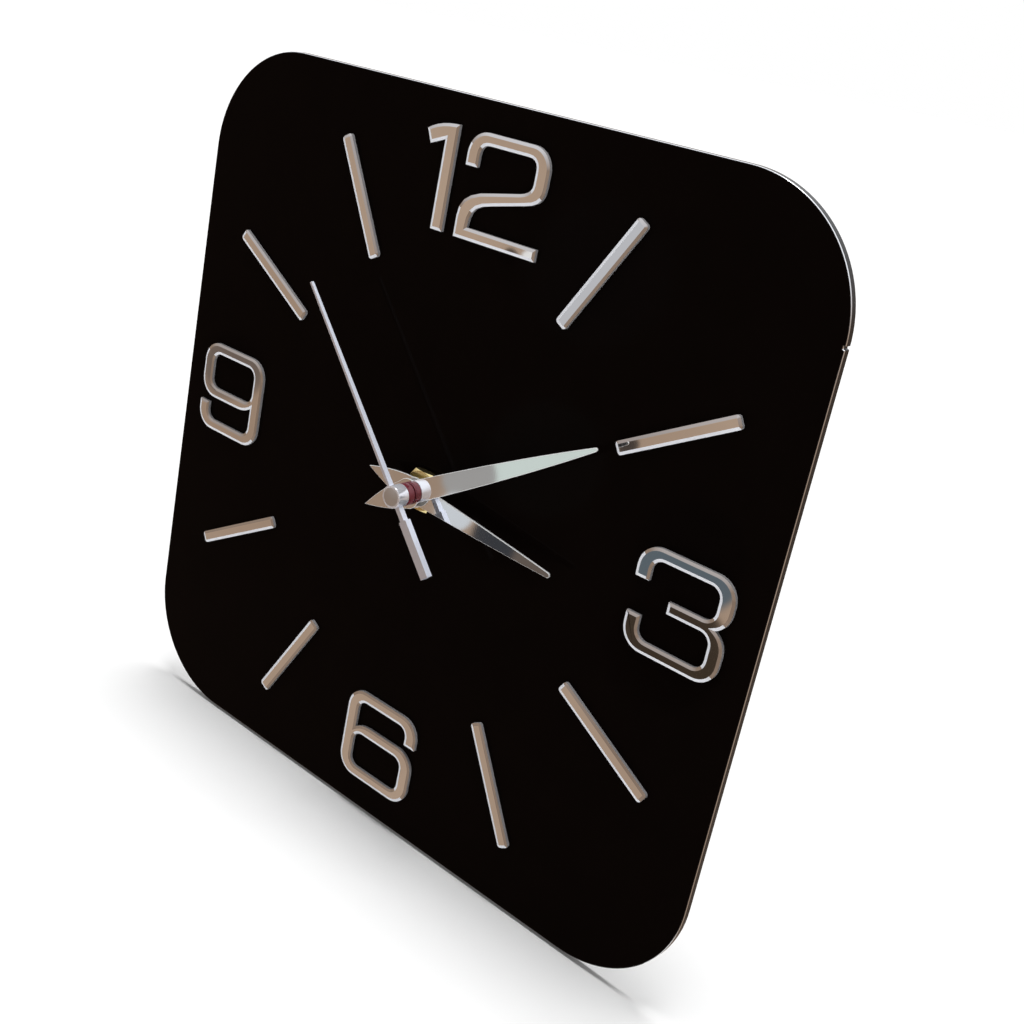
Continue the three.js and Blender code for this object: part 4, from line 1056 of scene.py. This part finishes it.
@dataclass
class CentreFixing:
    """The brass nut, washer and threaded bush that clamp the movement to the dial.

    Attributes:
        bush_radius: The radius over the bush's threads.
        bush_bore: The radius of its bore.
        flange: The radius of its inner flange.
        flange_depth: The flange's thickness.
        pitch: The thread's pitch.
        thread: The thread's depth.
        nut_corner_cut: How far the nut's chamfer comes down its corners.
        gap: The clearance in the nut and washer.
    """

    bush_radius: float = 4 * MM
    bush_bore: float = 2.8 * MM
    flange: float = 6.5 * MM
    flange_depth: float = 0.8 * MM
    pitch: float = 0.75 * MM
    thread: float = 0.38 * MM
    nut_corner_cut: float = 0.7 * MM
    gap: float = 0.15 * MM

    def build(self) -> None:
        """Makes the three brass pieces and the rubber gasket."""
        self.bush()
        self.nut()
        self.ring("dial_washer", "brass_washer", BRASS, self.bush_radius + 2 * self.gap)
        self.ring(
            "rubber_gasket",
            "gasket",
            RUBBER,
            self.bush_radius + 2 * self.gap,
        )

    def bush(self) -> None:
        """Turns the bush with its thread."""
        _low, high, size = extent("threaded_bush")
        root = self.bush_radius - self.thread
        outline = [(self.bush_bore, 0), (self.flange, 0), (self.flange, self.flange_depth)]
        outline.append((root, self.flange_depth))
        height = self.flange_depth + self.pitch
        while height + self.pitch < size.y - self.thread:
            outline.append((root, height))
            outline.append((self.bush_radius, height + 0.42 * self.pitch))
            outline.append((self.bush_radius, height + 0.58 * self.pitch))
            height += self.pitch
        outline += [(root, height), (root, size.y), (self.bush_bore, size.y)]
        outline.append(outline[0])
        forward = [(radius, high.y - y) for radius, y in outline]
        piece = turn_profile("brass_bush", forward)
        dress(piece, "dial", (BRASS,), nodes=("threaded_bush",))

    def nut(self) -> None:
        """Shapes the hexagon nut, chamfered like a turned one."""
        low, high, size = extent("dial_nut")
        middle = (low + high) / 2
        corner = size.x / 2
        nut = drum("brass_nut", middle, corner, size.y, vertices=6)
        turn_about_hands(nut, math.pi / 6 if self.on_flat(nut, corner) else 0)
        turned = drum("turned_blank", middle, corner * 1.002, size.y)
        choose_faces(turned, lambda face: abs(face.normal.y) > 0.9)
        bpy.ops.mesh.inset(thickness=corner - size.z / 2)
        bpy.ops.object.mode_set(mode="OBJECT")
        self.slope(turned, middle.y, size)
        combine(nut, turned, Cut.KEEP_COMMON)
        hole = drum("nut_hole", middle, self.bush_radius + self.gap, 2 * size.y)
        combine(nut, hole, Cut.REMOVE)
        round_edges(nut, 0.12 * MM, 2, 25)
        dress(nut, "dial", (BRASS,), nodes=("dial_nut",))

    def on_flat(self, nut: Mesh, corner: float) -> bool:
        """True if the hexagon has no corner at three o'clock."""
        return max(vertex.co.x for vertex in nut.data.vertices) < 0.99 * corner

    def slope(self, turned: Mesh, middle: float, size: Vector) -> None:
        """Drops the rims of the turned blank, so that its ends are chamfered.

        Args:
            turned: The blank.
            middle: The height of its middle.
            size: The nut's size.
        """
        for vertex in turned.data.vertices:
            if vertex.co.xz.length > size.z / 2 + self.gap:
                side = math.copysign(size.y / 2 - self.nut_corner_cut, vertex.co.y - middle)
                vertex.co.y = middle + side

    def ring(self, node: str, name: str, finish: Finish, bore: float) -> None:
        """Turns a flat ring with softened rims.

        Args:
            node: The node it stands for.
            name: Its name.
            finish: Its finish.
            bore: Its inner radius.
        """
        low, high, size = extent(node)
        radius, soft = size.x / 2, 0.12 * MM
        outline = [
            (bore, low.y),
            (radius - soft, low.y),
            (radius, low.y + soft),
            (radius, high.y - soft),
            (radius - soft, high.y),
            (bore, high.y),
            (bore, low.y),
        ]
        piece = turn_profile(name, outline)
        dress(piece, "dial", (finish,), nodes=(node,))


# ---------------------------------------------------------------- hands


@dataclass
class Hands:
    """The hour, minute and second hands with the second hand's hub and cap.

    Attributes:
        edge: The width of the lance hands' polished edges.
        blade_edge: The width of the second hand's edges.
        cap_rim: The width of the cap's polished rim.
        spigot: The radius of the hub's spigot.
        cap_wall: The thickness of the cap.
        bore: The radius of the hub's bore.
        socket: The radius of the wider bore at the hub's foot.
        socket_depth: Its depth.
    """

    edge: float = 0.16 * MM
    blade_edge: float = 0.09 * MM
    cap_rim: float = 0.3 * MM
    spigot: float = 2.4 * MM
    cap_wall: float = 0.6 * MM
    bore: float = 0.65 * MM
    socket: float = 1.9 * MM
    socket_depth: float = 1 * MM

    def build(self) -> None:
        """Makes every piece of the hands."""
        for node, body in (("hour_hand", "hours"), ("minute_hand", "minutes")):
            piece = merged_copy(node, node.replace("_hand", "_lance_hand"))
            round_edges(piece, self.edge, 3, 50)
            dress(
                piece,
                body,
                (HAND_METAL, HAND_EDGE),
                front_or_side,
                (node,),
                FLAT_ANGLE,
            )
        blade = merged_copy("second_hand", "second_bar_hand")
        round_edges(blade, self.blade_edge, 2, 50)
        dress(
            blade,
            "seconds",
            (BAR_FACE, BAR_SIDE),
            front_or_side,
            ("second_hand",),
            FLAT_ANGLE,
        )
        self.cap()
        self.hub()

    def cap(self) -> None:
        """Turns the silver cap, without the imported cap's slots for the second hand."""
        low, high, size = extent("second_hand_cap")
        radius, wall = size.x / 2, self.cap_wall
        outline = [
            (0, low.y),
            (radius - 2.4 * self.cap_rim, low.y),
            (radius - 2 * self.cap_rim, low.y + 0.05 * MM),
            (radius - 1.7 * self.cap_rim, low.y),
            (radius - self.cap_rim, low.y),
            (radius - 0.3 * self.cap_rim, low.y + 0.3 * self.cap_rim),
            (radius, low.y + self.cap_rim),
            (radius, high.y - 0.1 * MM),
            (radius - 0.1 * MM, high.y),
            (radius - wall, high.y),
            (radius - wall, low.y + wall),
            (0, low.y + wall),
        ]
        cap = turn_profile("silver_cap", outline)
        dress(
            cap,
            "seconds",
            (CAP_FACE, CAP_WALL),
            front_or_side,
            ("second_hand_cap",),
        )

    def hub(self) -> None:
        """Turns the dark red hub under the cap."""
        low, high, size = extent("second_hand_hub")
        radius, soft = size.x / 2, 0.15 * MM
        foot = high.y
        head = extent("second_hand_cap")[1].y + 0.15 * MM
        outline = [
            (self.bore, low.y),
            (self.spigot - soft, low.y),
            (self.spigot, low.y + soft),
            (self.spigot, head),
            (radius - soft, head),
            (radius, head + soft),
            (radius, foot - 5 * soft),
            (radius - soft, foot - 4 * soft),
            (radius - soft, foot - 3 * soft),
            (radius, foot - 2 * soft),
            (radius, foot - soft),
            (radius - soft, foot),
            (self.socket, foot),
            (self.socket, foot - self.socket_depth),
            (self.bore, foot - self.socket_depth),
            (self.bore, low.y),
        ]
        hub = turn_profile("red_hub", outline)
        dress(hub, "seconds", (RED_PLASTIC,), nodes=("second_hand_hub",))


# ---------------------------------------------------------------- movement


@dataclass
class Movement:
    """The outside of the quartz movement behind the dial, with its hanger and setting knob.

    Attributes:
        soft: The round of the moulded and pressed edges.
        knob_soft: The round of the knob's edges.
    """

    soft: float = 0.25 * MM
    knob_soft: float = 0.12 * MM

    def build(self) -> None:
        """Makes the outer pieces of the movement."""
        for node, finish, slot, body, width in (
            ("movement_front_case", BLACK_ABS, "black_plastic", "dial", self.soft),
            ("movement_back_cover", BLACK_ABS, "black_plastic", "dial", self.soft),
            ("hanger", ZINC, "plated_steel", "dial", self.soft),
            ("setting_knob", KNOB_ABS, "knob_plastic", "knob", self.knob_soft),
        ):
            piece = merged_copy(node, f"{node}_piece")
            round_edges(piece, width, 2, 50)
            dress(piece, body, (finish,), nodes=(node,), angle=CASE_ANGLE)


@dataclass
class InnerWorks:
    """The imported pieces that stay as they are, each with its finish."""

    def build(self) -> None:
        """Gives each inner piece its finish."""
        finishes = {
            "rotor_pinion": ACETAL,
            "rotor_magnet": MAGNET,
            "intermediate_wheel": ACETAL,
            "seconds_wheel": ZINC,
            "third_wheel": ACETAL,
            "minute_wheel": ACETAL,
            "minute_tube": BRASS,
            "motion_wheel": ACETAL,
            "hour_wheel": ACETAL,
            "gear_plate": ACETAL,
            "stator": ZINC,
            "coil_bobbin": ACETAL,
            "coil_winding": COPPER,
            "circuit_board": BOARD,
            "quartz_crystal": ZINC,
            "chip": EPOXY,
            "contact_positive": ZINC,
            "contact_negative": ZINC,
            "battery_cell": CELL_WRAP,
        }
        for node, finish in finishes.items():
            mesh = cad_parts[node].data
            mesh.materials.clear()
            mesh.materials.append(finish.material())
            LOG.info("%s takes the finish %s", node, finish.name)


# ---------------------------------------------------------------- studio


@dataclass
class Studio:
    """The pale floor, the soft light and the camera.

    Attributes:
        floor_gap: How far the floor lies below the dial.
        floor_size: The floor's side.
        camera_at: The camera's place.
        camera_turn: Its rotation in degrees.
        lens: Its focal length in millimetres.
        shift: How far its frame is shifted.
        overhead: The strength of the light overhead.
        softness: How wide that light is, in degrees.
        fill: The brightness of the light from all around.
    """

    floor_gap: float = 0.0012
    floor_size: float = 14.0
    camera_at: Colour = (0.30675, -0.40007, 0.17921)
    camera_turn: Colour = (70.1061, -9.3204, 44.3184)
    lens: float = 49.763
    shift: Point = (0.12265, -0.04406)
    overhead: float = 2.9
    softness: float = 24
    fill: float = 0.27

    def build(self) -> None:
        """Sets up floor, light and camera."""
        self.floor()
        self.surroundings()
        self.lamps()
        self.camera()
        bpy.context.scene.view_settings.view_transform = "Standard"

    def floor(self) -> None:
        """Lays the pale floor."""
        low, _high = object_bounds()
        deselect()
        bpy.ops.mesh.primitive_plane_add(
            size=self.floor_size, location=(0, 0, low.z - self.floor_gap)
        )
        floor = start("floor")
        finish = Finish("pale_floor", (0.93, 0.93, 0.93), 0.9, 0.05, mottle=0.005, specular=0.1)
        floor.data.materials.append(finish.material())
        floor.visible_glossy = False
        floor.visible_transmission = False
        floor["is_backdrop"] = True

    def surroundings(self) -> None:
        """Lights the scene evenly, with a warm room for the mirrors to show."""
        world = bpy.data.worlds.new("studio")
        bpy.context.scene.world = world
        world.use_nodes = True
        tree = world.node_tree
        background = tree.nodes["Background"]
        room = RoomReflection(tree).colour()
        path = tree.nodes.new("ShaderNodeLightPath")
        for output, level in (("Is Camera Ray", 1.0), ("Is Diffuse Ray", self.fill)):
            mix = tree.nodes.new("ShaderNodeMix")
            mix.data_type = "RGBA"
            tree.links.new(path.outputs[output], mix.inputs["Factor"])
            tree.links.new(room, mix.inputs[MIX_BELOW])
            mix.inputs[MIX_ABOVE].default_value = (level, level, level, 1)
            room = mix.outputs[MIX_RESULT]
        tree.links.new(room, background.inputs["Color"])

    def lamps(self) -> None:
        """Hangs one wide soft light straight overhead."""
        lamp = bpy.data.lights.new("overhead", "SUN")
        lamp.energy = self.overhead
        lamp.angle = math.radians(self.softness)
        holder = bpy.data.objects.new("overhead", lamp)
        holder.location = (0, 0, 2)
        bpy.context.scene.collection.objects.link(holder)

    def camera(self) -> None:
        """Places the camera."""
        data = bpy.data.cameras.new("camera")
        data.lens = self.lens
        data.sensor_width = 36
        data.shift_x, data.shift_y = self.shift
        data.clip_start, data.clip_end = 0.01, 100
        holder = bpy.data.objects.new("camera", data)
        holder.location = self.camera_at
        holder.rotation_euler = [math.radians(angle) for angle in self.camera_turn]
        bpy.context.scene.collection.objects.link(holder)
        bpy.context.scene.camera = holder


class RoomReflection:
    """What shiny surfaces show: warm mottled walls, a pale ceiling, white ground and patches.

    Attributes:
        PATCHES: The colour of each thing in the room, its azimuth, its elevation, the radius
            where it is full and the radius where it ends, all angles in degrees. Each stands
            where a flat front piece mirrors it to the camera at rest.
        DARK_WALL, PALE_WALL: The mottled colours of the walls.
        CEILING: The colour overhead.
        GROUND: The colour underneath.
        GROUND_PLACE: Where the ground is.
    """

    DARK_WALL = (0.33, 0.235, 0.17)
    PALE_WALL = (0.43, 0.32, 0.24)
    CEILING = (1.15, 1.18, 1.22)
    GROUND = (1.1, 1.1, 1.1)
    GROUND_PLACE = (0, -90, 28, 45)

    PATCHES = (
        ((0.50, 0.51, 0.54), (33.8, -10.4, 2.6, 3.2)),
        ((0.10, 0.125, 0.145), (27.6, -20.7, 2.1, 2.5)),
        ((0.045, 0.032, 0.022), (27.6, -24.4, 2.2, 2.5)),
        ((0.60, 0.67, 0.63), (34.4, -18.1, 2.25, 2.45)),
        ((0.34, 0.33, 0.32), (37.4, -19.4, 1.0, 1.2)),
        ((0.60, 0.63, 0.66), (37.7, -20.9, 0.7, 0.85)),
        ((0.040, 0.042, 0.048), (35.7, -21.7, 0.9, 1.2)),
        ((0.12, 0.095, 0.08), (33.9, -22.3, 0.7, 1.1)),
        ((0.05, 0.04, 0.035), (31.2, -16.8, 0.35, 0.5)),
        ((0.04, 0.033, 0.028), (37.5, -10.5, 0.25, 0.4)),
        ((0.80, 0.80, 0.80), (36.7, -10.4, 0.25, 0.4)),
        ((0.15, 0.115, 0.095), (48.0, -16.5, 1.0, 1.6)),
    )

    def __init__(self, tree: bpy.types.NodeTree) -> None:
        """Keeps the world's nodes.

        Args:
            tree: The world's node tree.
        """
        self.tree = tree
        coordinates = tree.nodes.new("ShaderNodeTexCoord")
        self.direction = coordinates.outputs["Generated"]

    def patch(self, azimuth: float, elevation: float, inner: float, outer: float) -> Socket:
        """A soft round patch of the surroundings.

        Args:
            azimuth: Its direction in degrees, from -Y towards -X.
            elevation: Its height above the horizon in degrees.
            inner: The radius in degrees inside which it is full.
            outer: The radius in degrees where it ends.

        Returns:
            1 in the patch and 0 outside.
        """
        turn, rise = math.radians(azimuth), math.radians(elevation)
        towards = (
            -math.sin(turn) * math.cos(rise),
            -math.cos(turn) * math.cos(rise),
            math.sin(rise),
        )
        dot = self.tree.nodes.new("ShaderNodeVectorMath")
        dot.operation = "DOT_PRODUCT"
        self.tree.links.new(self.direction, dot.inputs[0])
        dot.inputs[1].default_value = towards
        edge = self.tree.nodes.new("ShaderNodeMapRange")
        edge.interpolation_type = "SMOOTHSTEP"
        self.tree.links.new(dot.outputs["Value"], edge.inputs["Value"])
        edge.inputs["From Min"].default_value = math.cos(math.radians(outer))
        edge.inputs["From Max"].default_value = math.cos(math.radians(inner))
        return edge.outputs["Result"]

    def over(self, below: Socket, colour: Colour, mask: Socket) -> Socket:
        """Lays a colour over the room where a mask is 1.

        Args:
            below: The room so far.
            colour: The colour.
            mask: Where it goes.

        Returns:
            The room with the colour.
        """
        mix = self.tree.nodes.new("ShaderNodeMix")
        mix.data_type = "RGBA"
        self.tree.links.new(mask, mix.inputs["Factor"])
        self.tree.links.new(below, mix.inputs[MIX_BELOW])
        mix.inputs[MIX_ABOVE].default_value = (*colour, 1)
        return mix.outputs[MIX_RESULT]

    def colour(self) -> Socket:
        """The room's colour by direction.

        Returns:
            The colour.
        """
        noise = self.tree.nodes.new("ShaderNodeTexNoise")
        noise.inputs["Scale"].default_value = 5
        noise.inputs["Detail"].default_value = 5
        self.tree.links.new(self.direction, noise.inputs["Vector"])
        ramp = self.tree.nodes.new("ShaderNodeValToRGB")
        stops = ((0.35, self.DARK_WALL), (0.65, self.PALE_WALL))
        for element, (position, colour) in zip(ramp.color_ramp.elements, stops):
            element.position = position
            element.color = (*colour, 1)
        self.tree.links.new(noise.outputs["Fac"], ramp.inputs["Fac"])
        split = self.tree.nodes.new("ShaderNodeSeparateXYZ")
        self.tree.links.new(self.direction, split.inputs[0])
        height = self.tree.nodes.new("ShaderNodeMapRange")
        self.tree.links.new(split.outputs["Z"], height.inputs["Value"])
        height.inputs["From Min"].default_value = -0.05
        height.inputs["From Max"].default_value = 0.5
        room = self.over(ramp.outputs["Color"], self.CEILING, height.outputs["Result"])
        for tint, place in self.PATCHES:
            room = self.over(room, tint, self.patch(*place))
        return self.over(room, self.GROUND, self.patch(*self.GROUND_PLACE))


def main() -> None:
    """Builds the clock's pieces in order, then the studio around them."""
    logging.basicConfig(level=logging.INFO, format="%(name)s: %(message)s")
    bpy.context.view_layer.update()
    for assembly in (
        DialPlate(),
        MirrorTrim(),
        CentreFixing(),
        Hands(),
        Movement(),
        InnerWorks(),
        Studio(),
    ):
        LOG.info("building %s", type(assembly).__name__)
        assembly.build()
    deselect()


if __name__ == "__main__":
    main()
